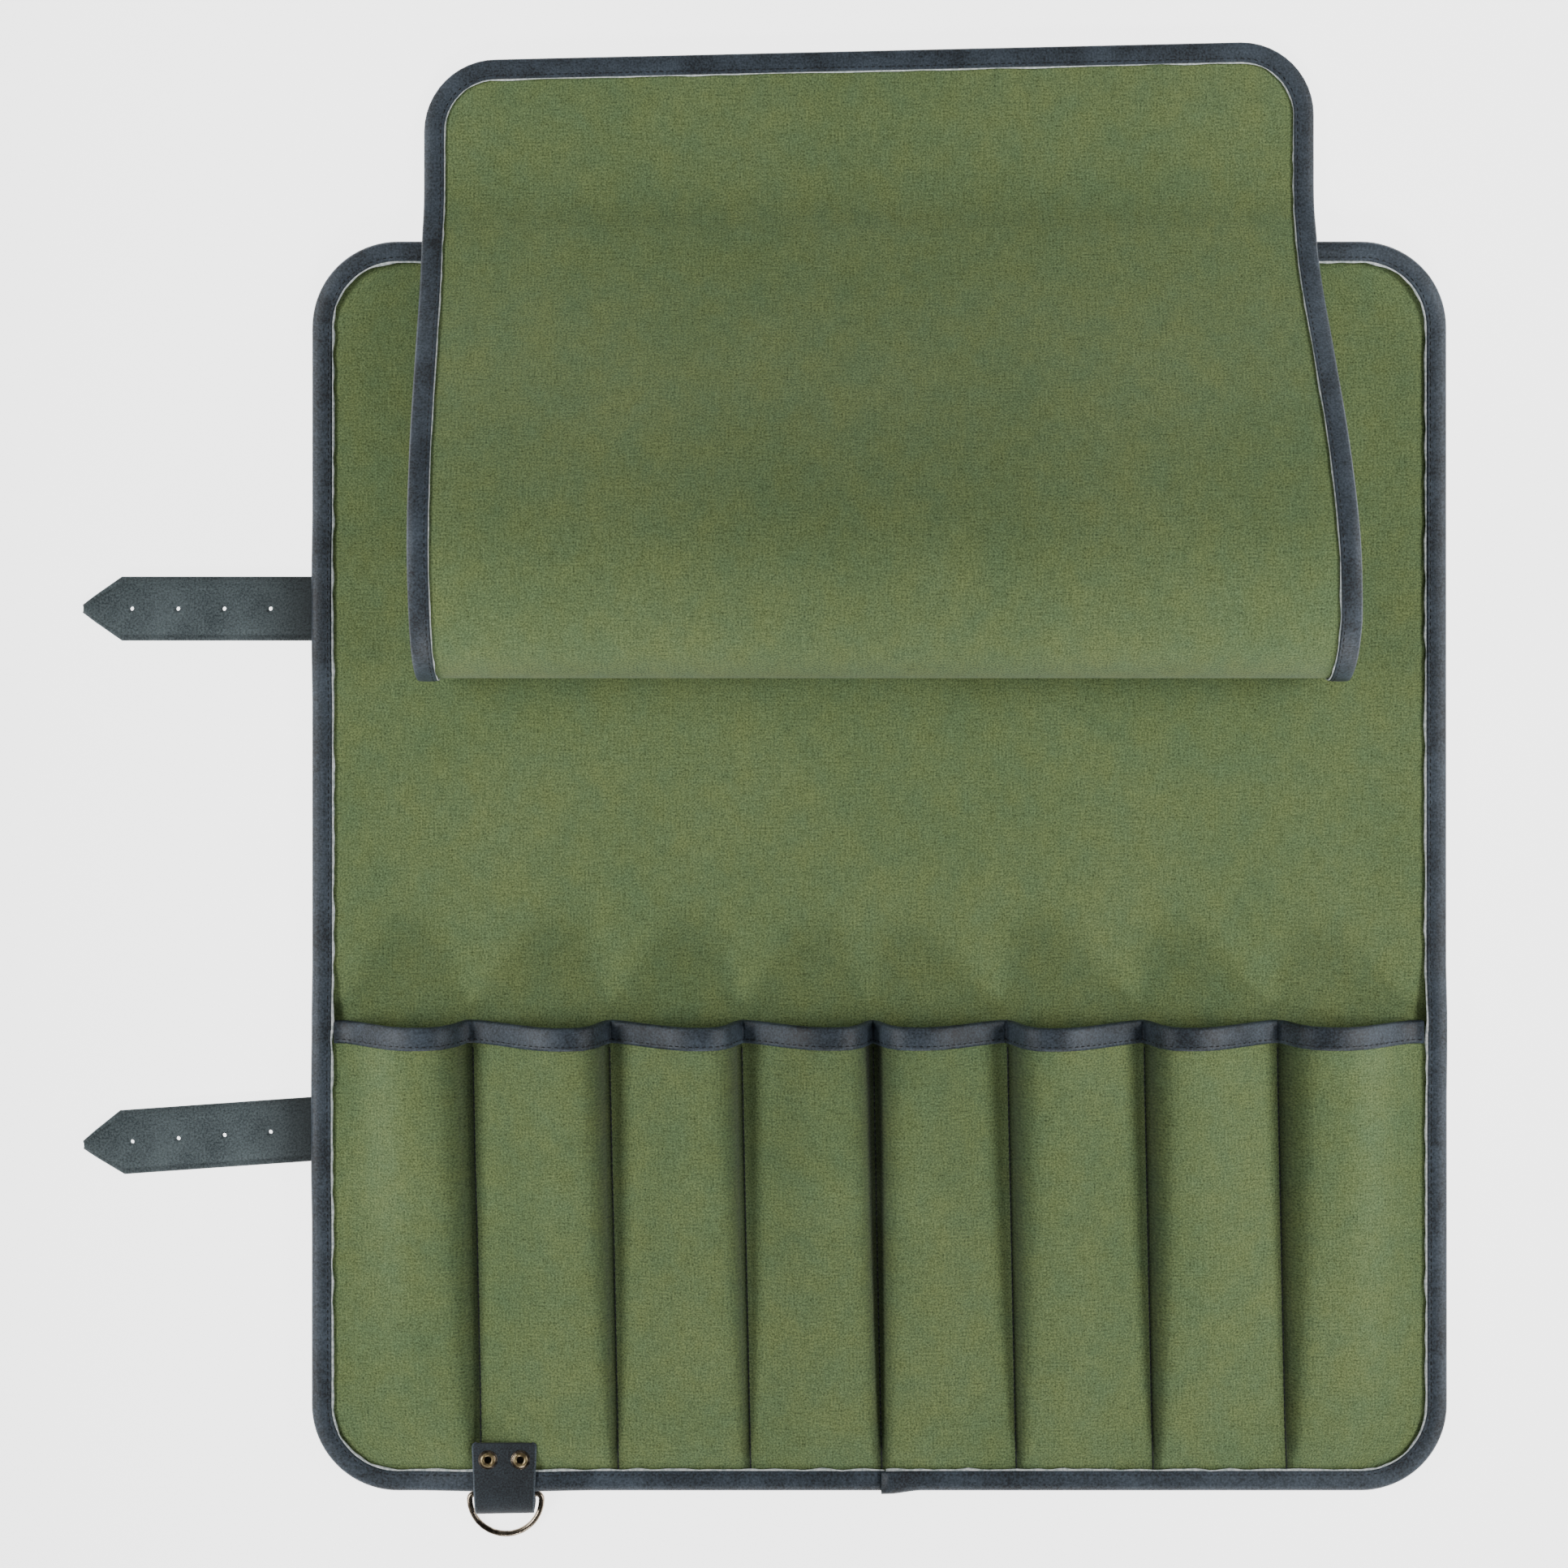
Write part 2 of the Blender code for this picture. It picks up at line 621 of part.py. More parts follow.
def make_strap(name, strap_y, turn):
    """A flat strap: its free end past the panel's edge may be turned about that edge."""
    half = STRAP_WIDTH / 2
    tip = PANEL_LEFT - STRAP_FREE

    def turned(x, y):
        if x >= PANEL_LEFT:
            return (x, y + strap_y)
        reach = x - PANEL_LEFT
        return (PANEL_LEFT + reach * math.cos(turn) - y * math.sin(turn),
                strap_y + reach * math.sin(turn) + y * math.cos(turn))

    outline = [(STRAP_END, half), (PANEL_LEFT, half), (tip + STRAP_POINT, half),
               (tip + STRAP_POINT * 0.35, half * 0.42), (tip, 0.0),
               (tip + STRAP_POINT * 0.35, -half * 0.42), (tip + STRAP_POINT, -half),
               (PANEL_LEFT, -half), (STRAP_END, -half)]
    outlines = [[turned(x, y) for x, y in outline]]
    for k in range(HOLES):
        centre = (tip + FIRST_HOLE + HOLE_PITCH * k, 0.0)
        outlines.append([turned(x, y) for x, y in arc(centre, HOLE_RADIUS, 0, 360, 10)[:-1]])
    return add_plate(name, outlines, 0.0, STRAP, strap_leather)


def make_buckle(name, strap_y):
    """One plain piece: a plate sewn under the strap's end, a frame past it and a fixed prong."""
    half = BUCKLE_WIDTH / 2
    back, front = STRAP_END - BUCKLE_PLATE, STRAP_END + BUCKLE_FRAME
    round_off = BUCKLE_BAR
    outer = []
    for x, y, start in ((front, half, 0), (back, half, 90), (back, -half, 180), (front, -half, 270)):
        centre = (x - math.copysign(round_off, x - BUCKLE_MID), y - math.copysign(round_off, y))
        outer += arc(centre, round_off, start, start + 90, 3)
    window_back, window_front = STRAP_END + BUCKLE_BAR, front - BUCKLE_BAR
    window_half = half - BUCKLE_BAR
    window = [(window_back, window_half), (window_front, window_half),
              (window_front, -window_half), (window_back, -window_half),
              (window_back, -PRONG / 2), (window_front - PRONG / 2, -PRONG / 2),
              (window_front - PRONG / 2, PRONG / 2), (window_back, PRONG / 2)]
    outlines = [[(x, y + strap_y) for x, y in outline] for outline in (outer, window)]
    return add_plate(name, outlines, BUCKLE_LOW, BUCKLE, brass)


# Tab, eyelets and D-ring

def tab_levels():
    """Middle heights of the tab's lower and upper leaves."""
    top = binding_seat(TAB_X, -PANEL_TOP) + LEATHER + GAP
    return TAB / 2, top + TAB / 2


def make_tab():
    low, high = tab_levels()
    edge_y = RING_AXIS_Y
    reach = TAB_LOOP - TAB / 2 - RING_WIRE / 2
    middle = (low + high) / 2
    line = [(TAB_TOP, high), (mix(TAB_TOP, edge_y, 0.5), high)]
    for k in range(9):
        angle = math.radians(90 - 180 * k / 8)
        line.append((edge_y - reach * math.cos(angle), middle + (high - low) / 2 * math.sin(angle)))
    line += [(mix(TAB_TOP, edge_y, 0.5), low), (TAB_TOP, low)]

    def place(i, j):
        y, z = line[j]
        taper = (TAB_TOP - y) / (TAB_TOP - edge_y + reach)
        half = mix(TAB_WIDTH, TAB_FOLD_WIDTH, taper) / 2
        return (TAB_X + half * (i - 1), y, z)

    return add_sheet("ring_tab", 3, len(line), place, TAB, strap_leather)


def eyelet_x(side):
    return TAB_X + side * EYELET_SPACING / 2


def make_eyelet(name, side):
    """A domed flange on the tab with a tube through tab, pockets and panel."""
    seat = tab_levels()[1] + TAB / 2 + GAP
    profile = ((EYELET_BORE, seat + EYELET_DOME), (EYELET_TUBE * 1.1, seat + EYELET_DOME),
               (EYELET_FLANGE * 0.95, seat + EYELET_DOME / 2), (EYELET_FLANGE, seat),
               (EYELET_TUBE, seat), (EYELET_TUBE, GAP), (EYELET_BORE, GAP))
    shape = bmesh.new()
    points = [shape.verts.new((radius, 0.0, height)) for radius, height in profile]
    for start, end in zip(points, points[1:] + points[:1]):
        shape.edges.new((start, end))
    mesh = bpy.data.meshes.new(name)
    shape.to_mesh(mesh)
    shape.free()
    piece = add_object(name, mesh, brass, parts)
    piece.location = (eyelet_x(side), EYELET_Y, 0.0)
    screw = piece.modifiers.new("turn", "SCREW")
    screw.steps = screw.render_steps = 16
    screw.use_merge_vertices = True
    screw.merge_threshold = 0.00001
    screw.use_smooth_shade = True
    return piece


def cut_eyelet_hole(side, pieces):
    """Drills the eyelet's hole through each of the pieces."""
    drill = bmesh.new()
    bmesh.ops.create_cone(drill, cap_ends=True, segments=12, radius1=EYELET_TUBE + GAP,
                          radius2=EYELET_TUBE + GAP, depth=60 * MM)
    mesh = bpy.data.meshes.new("eyelet_drill")
    drill.to_mesh(mesh)
    drill.free()
    cutter = add_object("eyelet_drill", mesh, None, cutters)
    cutter.location = (eyelet_x(side), EYELET_Y, 0.0)
    cutter.hide_render = True
    cutter.display_type = "WIRE"
    for piece in pieces:
        cut = piece.modifiers.new("eyelet hole", "BOOLEAN")
        cut.operation = "DIFFERENCE"
        cut.solver = "EXACT"
        cut.object = cutter


def make_ring():
    """A D of round wire, its bar on the joint's axis, its bow resting on the table."""
    half = (RING_WIDTH - RING_WIRE) / 2
    bow_centre = RING_DEPTH - RING_WIRE - half
    turn = bow_centre
    points = arc((turn - half, -turn), turn, 90, 180, 3)
    points += arc((0.0, -bow_centre), half, 180, 360, 14)[1:-1]
    points += arc((half - turn, -turn), turn, 0, 90, 3)
    curve = bpy.data.curves.new("d_ring", "CURVE")
    curve.dimensions = "3D"
    curve.bevel_depth = RING_WIRE / 2
    curve.bevel_resolution = 2
    spline = curve.splines.new("POLY")
    spline.points.add(len(points) - 1)
    for point, (x, y) in zip(spline.points, points):
        point.co = (x, y, 0.0, 1.0)
    spline.use_cyclic_u = True
    piece = add_object("d_ring", curve, brass, parts)
    piece.location = (TAB_X, RING_AXIS_Y, RING_AXIS_Z)
    piece.rotation_euler.x = math.asin((RING_AXIS_Z - RING_WIRE / 2) / (RING_DEPTH - RING_WIRE))
    return piece


for old in list(bpy.data.objects):
    bpy.data.objects.remove(old, do_unlink=True)
parts = bpy.data.collections.new("knife_roll")
cutters = bpy.data.collections.new("cutters")
bpy.context.scene.collection.children.link(parts)
bpy.context.scene.collection.children.link(cutters)

canvas = finish("waxed_canvas", "6B7F4A", 0.75)
leather = finish("binding_leather", "2E353B", 0.55)
strap_leather = finish("strap_leather", "3A4447", 0.8)
brass = finish("antique_brass", "6E5A36", 0.35, 1.0)

FLAP_POINTS = flap_line()
FLAP_LENGTHS = lengths(FLAP_POINTS)
FLAP_NORMALS = line_normals(FLAP_POINTS)
FLAP_FOLD = min(range(len(FLAP_POINTS)), key=lambda k: FLAP_POINTS[k][0])

panel = make_panel()
make_panel_binding()
pocket_sheet = make_pocket_sheet()
make_pocket_binding()
make_flap()
make_flap_binding()
make_strap("strap_upper", STRAP_UPPER_Y, 0.0)
make_strap("strap_lower", STRAP_LOWER_Y, STRAP_LOWER_TURN)
make_buckle("buckle_upper", STRAP_UPPER_Y)
make_buckle("buckle_lower", STRAP_LOWER_Y)
tab = make_tab()
for label, eyelet_side in (("left", -1), ("right", 1)):
    make_eyelet("eyelet_" + label, eyelet_side)
    cut_eyelet_hole(eyelet_side, (panel, pocket_sheet, tab))
make_ring()
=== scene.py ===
"""Looks of the open chef knife roll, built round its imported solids.

Metres, in the frame of the solids: +Z up from the table, +Y towards the edge with the flap,
+X to the right as seen from above.
"""
import math

import bmesh
import bpy
from mathutils import Matrix, Vector, noise


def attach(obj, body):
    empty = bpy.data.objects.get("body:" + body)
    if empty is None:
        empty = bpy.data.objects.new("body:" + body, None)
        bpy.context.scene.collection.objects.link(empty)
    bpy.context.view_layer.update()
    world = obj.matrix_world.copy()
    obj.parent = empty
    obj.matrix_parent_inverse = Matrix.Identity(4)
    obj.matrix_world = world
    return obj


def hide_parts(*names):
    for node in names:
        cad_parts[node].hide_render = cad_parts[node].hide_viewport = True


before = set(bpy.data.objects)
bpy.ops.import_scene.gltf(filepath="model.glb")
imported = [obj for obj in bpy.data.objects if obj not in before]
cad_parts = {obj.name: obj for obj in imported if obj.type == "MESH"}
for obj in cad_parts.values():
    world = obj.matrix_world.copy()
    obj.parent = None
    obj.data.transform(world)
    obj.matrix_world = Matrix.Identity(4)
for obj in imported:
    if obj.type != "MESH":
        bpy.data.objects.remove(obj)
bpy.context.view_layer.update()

# Camera, table and lamps
# The roll is seen from straight above, over the middle of the picture. The table is plain and
# pale, and glows as an overexposed white table does: painted light, which also lights the roll.
# The glow is left off in a painted shadow round the spot under the ring's tab and its eyelets.
MM = 0.001
VIEW_CENTRE = (-0.0418, 0.0359)
VIEW_WIDTH = 0.690
VIEW_HEIGHT = 1.28
SENSOR = 36.0
TABLE_GLOW = 3.0
UNDER_TAB = (-0.164, -0.2592, 0.0)
DARK_REACH = 9.5 * MM
GLOW_REACH = 13.5 * MM
WORLD_LIGHT = 0.03


def rgb(hex_colour):
    """sRGB hex to the linear colour that a shader takes."""
    channels = [int(hex_colour[i:i + 2], 16) / 255 for i in (0, 2, 4)]
    return [c / 12.92 if c <= 0.04045 else ((c + 0.055) / 1.055) ** 2.4 for c in channels] + [1.0]


def new_material(name, colour, roughness, metallic=0.0):
    """A Principled material and its nodes, links and shader."""
    material = bpy.data.materials.new(name)
    material.use_nodes = True
    shader = material.node_tree.nodes["Principled BSDF"]
    shader.inputs["Base Color"].default_value = rgb(colour)
    shader.inputs["Roughness"].default_value = roughness
    shader.inputs["Metallic"].default_value = metallic
    return material, material.node_tree, shader


def add_node(tree, kind, settings=None, **links):
    """Adds a node, with settings for its properties or inputs, and links into its inputs."""
    node = tree.nodes.new(kind)
    for key, value in (settings or {}).items():
        if isinstance(key, str) and hasattr(node, key):
            setattr(node, key, value)
        else:
            node.inputs[key].default_value = value
    for key, socket in links.items():
        slot = int(key[1:]) if key[0] == "_" else key.replace("__", " ")
        tree.links.new(socket, node.inputs[slot])
    return node


def noise_tone(tree, place, size, detail, roughness=0.5):
    """Noise with features of a size in metres, from 0 to 1."""
    return add_node(tree, "ShaderNodeTexNoise", {"Scale": 1 / size, "Detail": detail,
                                                 "Roughness": roughness}, Vector=place).outputs["Fac"]


def two_tone(tree, factor, low_at, low, high_at, high):
    """A ramp between two sRGB hex tones, driven by a factor."""
    ramp = add_node(tree, "ShaderNodeValToRGB", Fac=factor)
    for element, at, tone in zip(ramp.color_ramp.elements, (low_at, high_at), (low, high)):
        element.position = at
        element.color = rgb(tone)
    return ramp.outputs["Color"]


def sum_of(tree, first, second, weight_first, weight_second):
    """Two values added, each with its weight."""
    scaled = add_node(tree, "ShaderNodeMath", {"operation": "MULTIPLY", 1: weight_second},
                      _0=second).outputs[0]
    return add_node(tree, "ShaderNodeMath", {"operation": "MULTIPLY_ADD", 1: weight_first},
                    _0=first, _2=scaled).outputs[0]


def add_bump(tree, shader, height, strength, distance):
    """Fine relief on a shader's surface."""
    bump = add_node(tree, "ShaderNodeBump", {"Strength": strength, "Distance": distance}, Height=height)
    tree.links.new(bump.outputs["Normal"], shader.inputs["Normal"])


def new_piece(name, shape, materials, body):
    """An object made of a finished bmesh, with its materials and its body."""
    mesh = bpy.data.meshes.new(name)
    shape.to_mesh(mesh)
    shape.free()
    for material in materials:
        mesh.materials.append(material)
    piece = bpy.data.objects.new(name, mesh)
    bpy.context.scene.collection.objects.link(piece)
    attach(piece, body)
    return piece


camera_data = bpy.data.cameras.new("camera")
camera_data.sensor_width = SENSOR
camera_data.lens = SENSOR * VIEW_HEIGHT / VIEW_WIDTH
camera = bpy.data.objects.new("camera", camera_data)
camera.location = (*VIEW_CENTRE, VIEW_HEIGHT)
bpy.context.scene.collection.objects.link(camera)
bpy.context.scene.camera = camera

bpy.ops.mesh.primitive_plane_add(size=6.0, location=(0, 0, -0.0004))
floor = bpy.context.object
floor.name = "table"
table_white, table_tree, table_shader = new_material("white_laminate", "F4F4F4", 0.6)
table_shader.inputs["Emission Color"].default_value = (1.0, 1.0, 1.0, 1.0)
glow_place = add_node(table_tree, "ShaderNodeTexCoord").outputs["Object"]
glow_far = add_node(table_tree, "ShaderNodeVectorMath", {"operation": "DISTANCE", 1: UNDER_TAB},
                    _0=glow_place).outputs["Value"]
# The glow is painted light. It fades to nothing near the spot under the ring's tab, a painted shadow seen
# through the eyelets.
glow = add_node(table_tree, "ShaderNodeMapRange", {"From Min": DARK_REACH, "From Max": GLOW_REACH,
                                                   "To Min": 0.0, "To Max": TABLE_GLOW}, Value=glow_far)
table_tree.links.new(glow.outputs[0], table_shader.inputs["Emission Strength"])
floor.data.materials.append(table_white)


def add_lamp(name, place, target, size, watts, spread_angle=180):
    """A soft oblong lamp at a place, facing a target, its light held within an angle."""
    light = bpy.data.lights.new(name, "AREA")
    light.shape = "RECTANGLE"
    light.size, light.size_y = size
    light.energy = watts
    light.spread = math.radians(spread_angle)
    lamp = bpy.data.objects.new(name, light)
    lamp.location = place
    lamp.rotation_euler = (Vector(target) - Vector(place)).to_track_quat("-Z", "Y").to_euler()
    bpy.context.scene.collection.objects.link(lamp)


add_lamp("left_lamp", (-0.60, 0.0, 0.42), (-0.16, 0.0, 0.0), (1.2, 0.2), 1.05, 60)
add_lamp("right_lamp", (0.60, 0.0, 0.42), (0.16, 0.0, 0.0), (1.2, 0.2), 1.15, 60)
add_lamp("far_lamp", (0.0, 1.1, 0.8), (0.0, 0.1, 0.0), (1.0, 0.6), 1.1)
add_lamp("near_lamp", (0.3, -1.55, 0.75), (0.1, 0.16, 0.05), (1.4, 0.25), 1.15, 30)
add_lamp("top_lamp", (0.0, 0.1, 2.0), (0.0, 0.0, 0.0), (1.0, 1.0), 0.35)
world = bpy.data.worlds.new("studio")
world.use_nodes = True
world.node_tree.nodes["Background"].inputs[0].default_value = (1.0, 1.0, 1.0, 1.0)
world.node_tree.nodes["Background"].inputs[1].default_value = WORLD_LIGHT
bpy.context.scene.world = world

# Panel
# Two layers of heavy waxed cotton canvas, laid open on the table. Its edge climbs over the lower
# leaf of the binding, and its underside over the straps, the buckles and the ring's tab.
GAP = 0.3 * MM
CANVAS = 1.0 * MM
PANEL_WALL = 1.6 * MM
LEATHER = 1.2 * MM
THIN_LEATHER = 1.0 * MM
SEAM_CLEAR = 0.6 * MM
MARGIN = 3.0 * MM
DRAPE = 20.0 * MM
PANEL_WIDTH = 498 * MM
PANEL_LENGTH = 548 * MM
CORNER = 38 * MM
BINDING = 9.0 * MM
EDGE_INSET = LEATHER + 3 * GAP
STRAIGHT_X = PANEL_WIDTH / 2 - CORNER
STRAIGHT_Y = PANEL_LENGTH / 2 - CORNER
PANEL_LEFT = -PANEL_WIDTH / 2
PANEL_TOP = PANEL_LENGTH / 2
STRAP = 1.8 * MM
STRAP_WIDTH = 27.5 * MM
STRAP_Y = {"strap_upper": PANEL_TOP - 161.0 * MM, "strap_lower": 158.3 * MM - PANEL_TOP}
STRAP_END = PANEL_LEFT + 240 * MM
BUCKLE = 1.6 * MM
BUCKLE_WIDTH = 37 * MM
BUCKLE_PLATE = 24 * MM
BUCKLE_FRAME = 22 * MM
BUCKLE_MID = STRAP_END + (BUCKLE_FRAME - BUCKLE_PLATE) / 2
BUCKLE_HALF = (BUCKLE_FRAME + BUCKLE_PLATE) / 2 + MARGIN
STRAP_HALF = BUCKLE_WIDTH / 2 + MARGIN / 2
TAB = 1.4 * MM
TAB_X = PANEL_LEFT + 85.0 * MM
TAB_WIDTH = 28.0 * MM
TAB_TOP = 22.0 * MM - PANEL_TOP
MOUTH_Y = 206.5 * MM - PANEL_TOP
POCKET_BINDING = 10.0 * MM
FLAP_EDGE_Y = PANEL_TOP - BINDING - 2 * MARGIN


def near(distance, full, fall):
    """1 up to the distance full, then falling evenly to 0 over fall."""
    return min(1.0, max(0.0, (full + fall - distance) / fall))


def ease(share):
    """0 to 1 with level ends."""
    share = min(1.0, max(0.0, share))
    return share * share * (3.0 - 2.0 * share)


def mix(low, high, share):
    return low + (high - low) * share


def inward(x, y):
    """Distance in from the panel's rounded outer edge."""
    past_x = abs(x) - STRAIGHT_X
    past_y = abs(y) - STRAIGHT_Y
    if past_x > 0 and past_y > 0:
        return CORNER - math.hypot(past_x, past_y)
    return CORNER - max(past_x, past_y)


def underneath(x, y):
    """Height of the strap, buckle or tab that lies under the panel at this place."""
    height = 0.0
    for strap_y in STRAP_Y.values():
        beside = near(abs(y - strap_y), STRAP_HALF, DRAPE)
        strap = (STRAP + GAP) * near(x, BUCKLE_MID, DRAPE)
        buckle = (STRAP + BUCKLE + 2 * GAP) * near(abs(x - BUCKLE_MID), BUCKLE_HALF, DRAPE)
        height = max(height, beside * strap, beside * buckle)
    beside_tab = near(abs(x - TAB_X), TAB_WIDTH / 2 + MARGIN, DRAPE)
    return max(height, (TAB + GAP) * beside_tab * near(y - TAB_TOP, MARGIN, DRAPE))


def lift(x, y):
    """Height of the panel's underside."""
    return underneath(x, y) + (LEATHER + GAP) * near(inward(x, y), BINDING + MARGIN, DRAPE)


def panel_top(x, y):
    return lift(x, y) + PANEL_WALL


def half_width(y, inset):
    """Half the panel's width at y, for an outline set in from the outer edge."""
    past = abs(y) - STRAIGHT_Y
    if past <= 0:
        return PANEL_WIDTH / 2 - inset
    return STRAIGHT_X + math.sqrt(max(0.0, (CORNER - inset) ** 2 - past ** 2))


def corner_heights(inset, steps):
    """Heights of rows that follow a round corner, from the straight side outwards."""
    turns = [math.radians(90 * k / steps) for k in range(steps + 1)]
    return [STRAIGHT_Y + (CORNER - inset) * math.sin(turn) for turn in turns]


def spread(low, high, step):
    """Evenly spaced values from low to high, about a step apart."""
    count = max(1, round((high - low) / step))
    return [mix(low, high, k / count) for k in range(count + 1)]


def cloth_sheet(name, across, along, place, flat, wall, material, body="roll", holes=(),
                even=True, painted_shade_and_wear=None):
    """A grid of across by along points, each put where place(i, j) says, with flat(i, j) as its
    place on the flat cloth in metres, given a wall on both sides, open round the points in holes.
    The last argument, a function of (i, j), says how far a point's colour is darkened: painted shade in a
    crease."""
    shape = bmesh.new()
    bmesh.ops.create_grid(shape, x_segments=across - 1, y_segments=along - 1, size=1.0)
    uv_layer = shape.loops.layers.uv.new("flat")
    # Each point keeps, as a mesh attribute, how far painted shade darkens its colour.
    painted_shade_layer = shape.verts.layers.float.new("painted_shade_and_wear")
    spots = {}
    cut_out = []
    for vertex in shape.verts:
        i = round((vertex.co.x + 1) / 2 * (across - 1))
        j = round((vertex.co.y + 1) / 2 * (along - 1))
        spots[vertex] = flat(i, j)
        vertex[painted_shade_layer] = painted_shade_and_wear(i, j) if painted_shade_and_wear else 0.0
        vertex.co = place(i, j)
        if (i, j) in holes:
            cut_out.append(vertex)
    for face in shape.faces:
        face.smooth = True
        for loop in face.loops:
            loop[uv_layer].uv = spots[loop.vert]
    bmesh.ops.delete(shape, geom=cut_out, context="VERTS")
    piece = new_piece(name, shape, [material], body)
    solidify = piece.modifiers.new("wall", "SOLIDIFY")
    solidify.thickness = wall
    solidify.offset = 0.0
    solidify.use_even_offset = even
    return piece


def waxed_canvas_material():
    """Plain-woven cotton duck, dyed olive and waxed: matt, with slubby yarns that take the dye
    unevenly and a fine grain. The yarns are 0.45 mm apart on the real cloth and drawn at 0.9 mm,
    the finest that shows from the camera."""
    material, tree, shader = new_material("waxed_cotton_canvas", "5F7440", 0.82)
    place = add_node(tree, "ShaderNodeUVMap", {"uv_map": "flat"}).outputs["UV"]
    yarn_pitch = 0.9 * MM

    def stretched(x, y, detail):
        """Noise with features of x by y metres, which draws it out along the yarns."""
        scaled = add_node(tree, "ShaderNodeVectorMath",
                          {"operation": "MULTIPLY", 1: (1 / x, 1 / y, 1.0)}, _0=place).outputs[0]
        return noise_tone(tree, scaled, 1.0, detail, 0.6)

    def blend(mode, factor, first, second):
        node = add_node(tree, "ShaderNodeMix", {"data_type": "RGBA", "blend_type": mode})
        node.inputs["Factor"].default_value = factor
        tree.links.new(first, node.inputs[6])
        if hasattr(second, "is_linked"):
            tree.links.new(second, node.inputs[7])
        else:
            node.inputs[7].default_value = second
        return node.outputs[2]

    warp = stretched(0.9 * MM, 9 * MM, 3.0)
    weft = stretched(9 * MM, 0.9 * MM, 3.0)
    grain = stretched(0.8 * MM, 0.8 * MM, 3.0)
    cloud = stretched(70 * MM, 90 * MM, 4.0)
    wax = stretched(14 * MM, 18 * MM, 5.0)
    yarns = sum_of(tree, warp, weft, 0.5, 0.5)
    tone = sum_of(tree, yarns, grain, 0.35, 0.65)
    dyed = blend("MULTIPLY", 1.0, two_tone(tree, tone, 0.33, "36452A", 0.67, "95A97C"),
                 two_tone(tree, cloud, 0.25, "E4ECDF", 0.75, "FFFDEE"))
    waxed = blend("MULTIPLY", 1.0, dyed, two_tone(tree, wax, 0.35, "EDF5F4", 0.65, "FFFBEA"))
    # Painted shade: where the mesh attribute says, the colour is darkened towards 2C3A20, as in the
    # pockets' creases.
    darkened = add_node(tree, "ShaderNodeAttribute", {"attribute_name": "painted_shade_and_wear"}).outputs["Fac"]
    colour = blend("MULTIPLY", 1.0, waxed, rgb("2C3A20"))
    tree.links.new(darkened, colour.node.inputs["Factor"])
    tree.links.new(colour, shader.inputs["Base Color"])
    weave_scaled = add_node(tree, "ShaderNodeVectorMath",
                            {"operation": "MULTIPLY", 1: (math.pi / yarn_pitch,) * 2 + (0.0,)},
                            _0=place).outputs[0]
    split = add_node(tree, "ShaderNodeSeparateXYZ", _0=weave_scaled)
    wave_x = add_node(tree, "ShaderNodeMath", {"operation": "SINE"}, _0=split.outputs[0]).outputs[0]
    wave_y = add_node(tree, "ShaderNodeMath", {"operation": "SINE"}, _0=split.outputs[1]).outputs[0]
    weave = add_node(tree, "ShaderNodeMath", {"operation": "MULTIPLY"}, _0=wave_x,
                     _1=wave_y).outputs[0]
    add_bump(tree, shader, sum_of(tree, weave, tone, 0.25, 1.2), 0.55, 0.25 * MM)
    shader.inputs["Sheen Weight"].default_value = 0.15
    shader.inputs["Sheen Roughness"].default_value = 0.5
    shader.inputs["Specular IOR Level"].default_value = 0.3
    return material


canvas = waxed_canvas_material()


def panel_bed(x, y):
    """Slow waves in the cloth where nothing presses it flat, fading out at its edges."""
    wave = noise.noise(Vector((x * 7.0, y * 7.0, 3.0))) + 0.4 * noise.noise(Vector((x * 19, y * 19, 8)))
    inner = ease((inward(x, y) - 25 * MM) / (45 * MM))
    above_pockets = ease((y - MOUTH_Y - 4 * MM) / (30 * MM))
    below_flap = ease((90 * MM - y) / (30 * MM))
    return 0.9 * MM * max(0.0, wave + 0.35) * inner * above_pockets * below_flap


settled = abs(TAB_X) + TAB_WIDTH / 2 + MARGIN


def squeeze(x, y, inset):
    """Draws the outer columns in where the corners round the outline."""
    full = PANEL_WIDTH / 2 - inset
    if abs(x) <= settled:
        return x
    share = (abs(x) - settled) / (full - settled)
    return math.copysign(mix(settled, half_width(y, inset), share), x)


panel_columns = spread(-(PANEL_WIDTH / 2 - EDGE_INSET), PANEL_WIDTH / 2 - EDGE_INSET, 4 * MM)
top_rows = corner_heights(EDGE_INSET, 10)
panel_rows = [-y for y in reversed(top_rows)] + spread(-STRAIGHT_Y, STRAIGHT_Y, 4 * MM)[1:-1]
panel_rows += top_rows


def panel_place(i, j):
    y = panel_rows[j]
    x = squeeze(panel_columns[i], y, EDGE_INSET)
    return (x, y, lift(x, y) + PANEL_WALL / 2 + panel_bed(x, y))


panel_cloth = cloth_sheet(
    "panel_cloth", len(panel_columns), len(panel_rows), panel_place,
    lambda i, j: (panel_columns[i], panel_rows[j]), PANEL_WALL, canvas)
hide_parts("panel")

# Panel's binding
# A strip of dark navy leather folded over the panel's edge and sewn through, its ends meeting in
# the bottom edge. A pale cut edge shows along its inner side, and dark thread just outside that.
BINDING_JOINT_X = 2.5 * MM
LAP = 2.0 * MM
LAP_FADE = 16.0 * MM
STITCH_PITCH = 3.0 * MM
STITCH_INSET = 7.4 * MM
CUT_EDGE = 1.7 * MM
FLAP_CUT_EDGE = 1.1 * MM


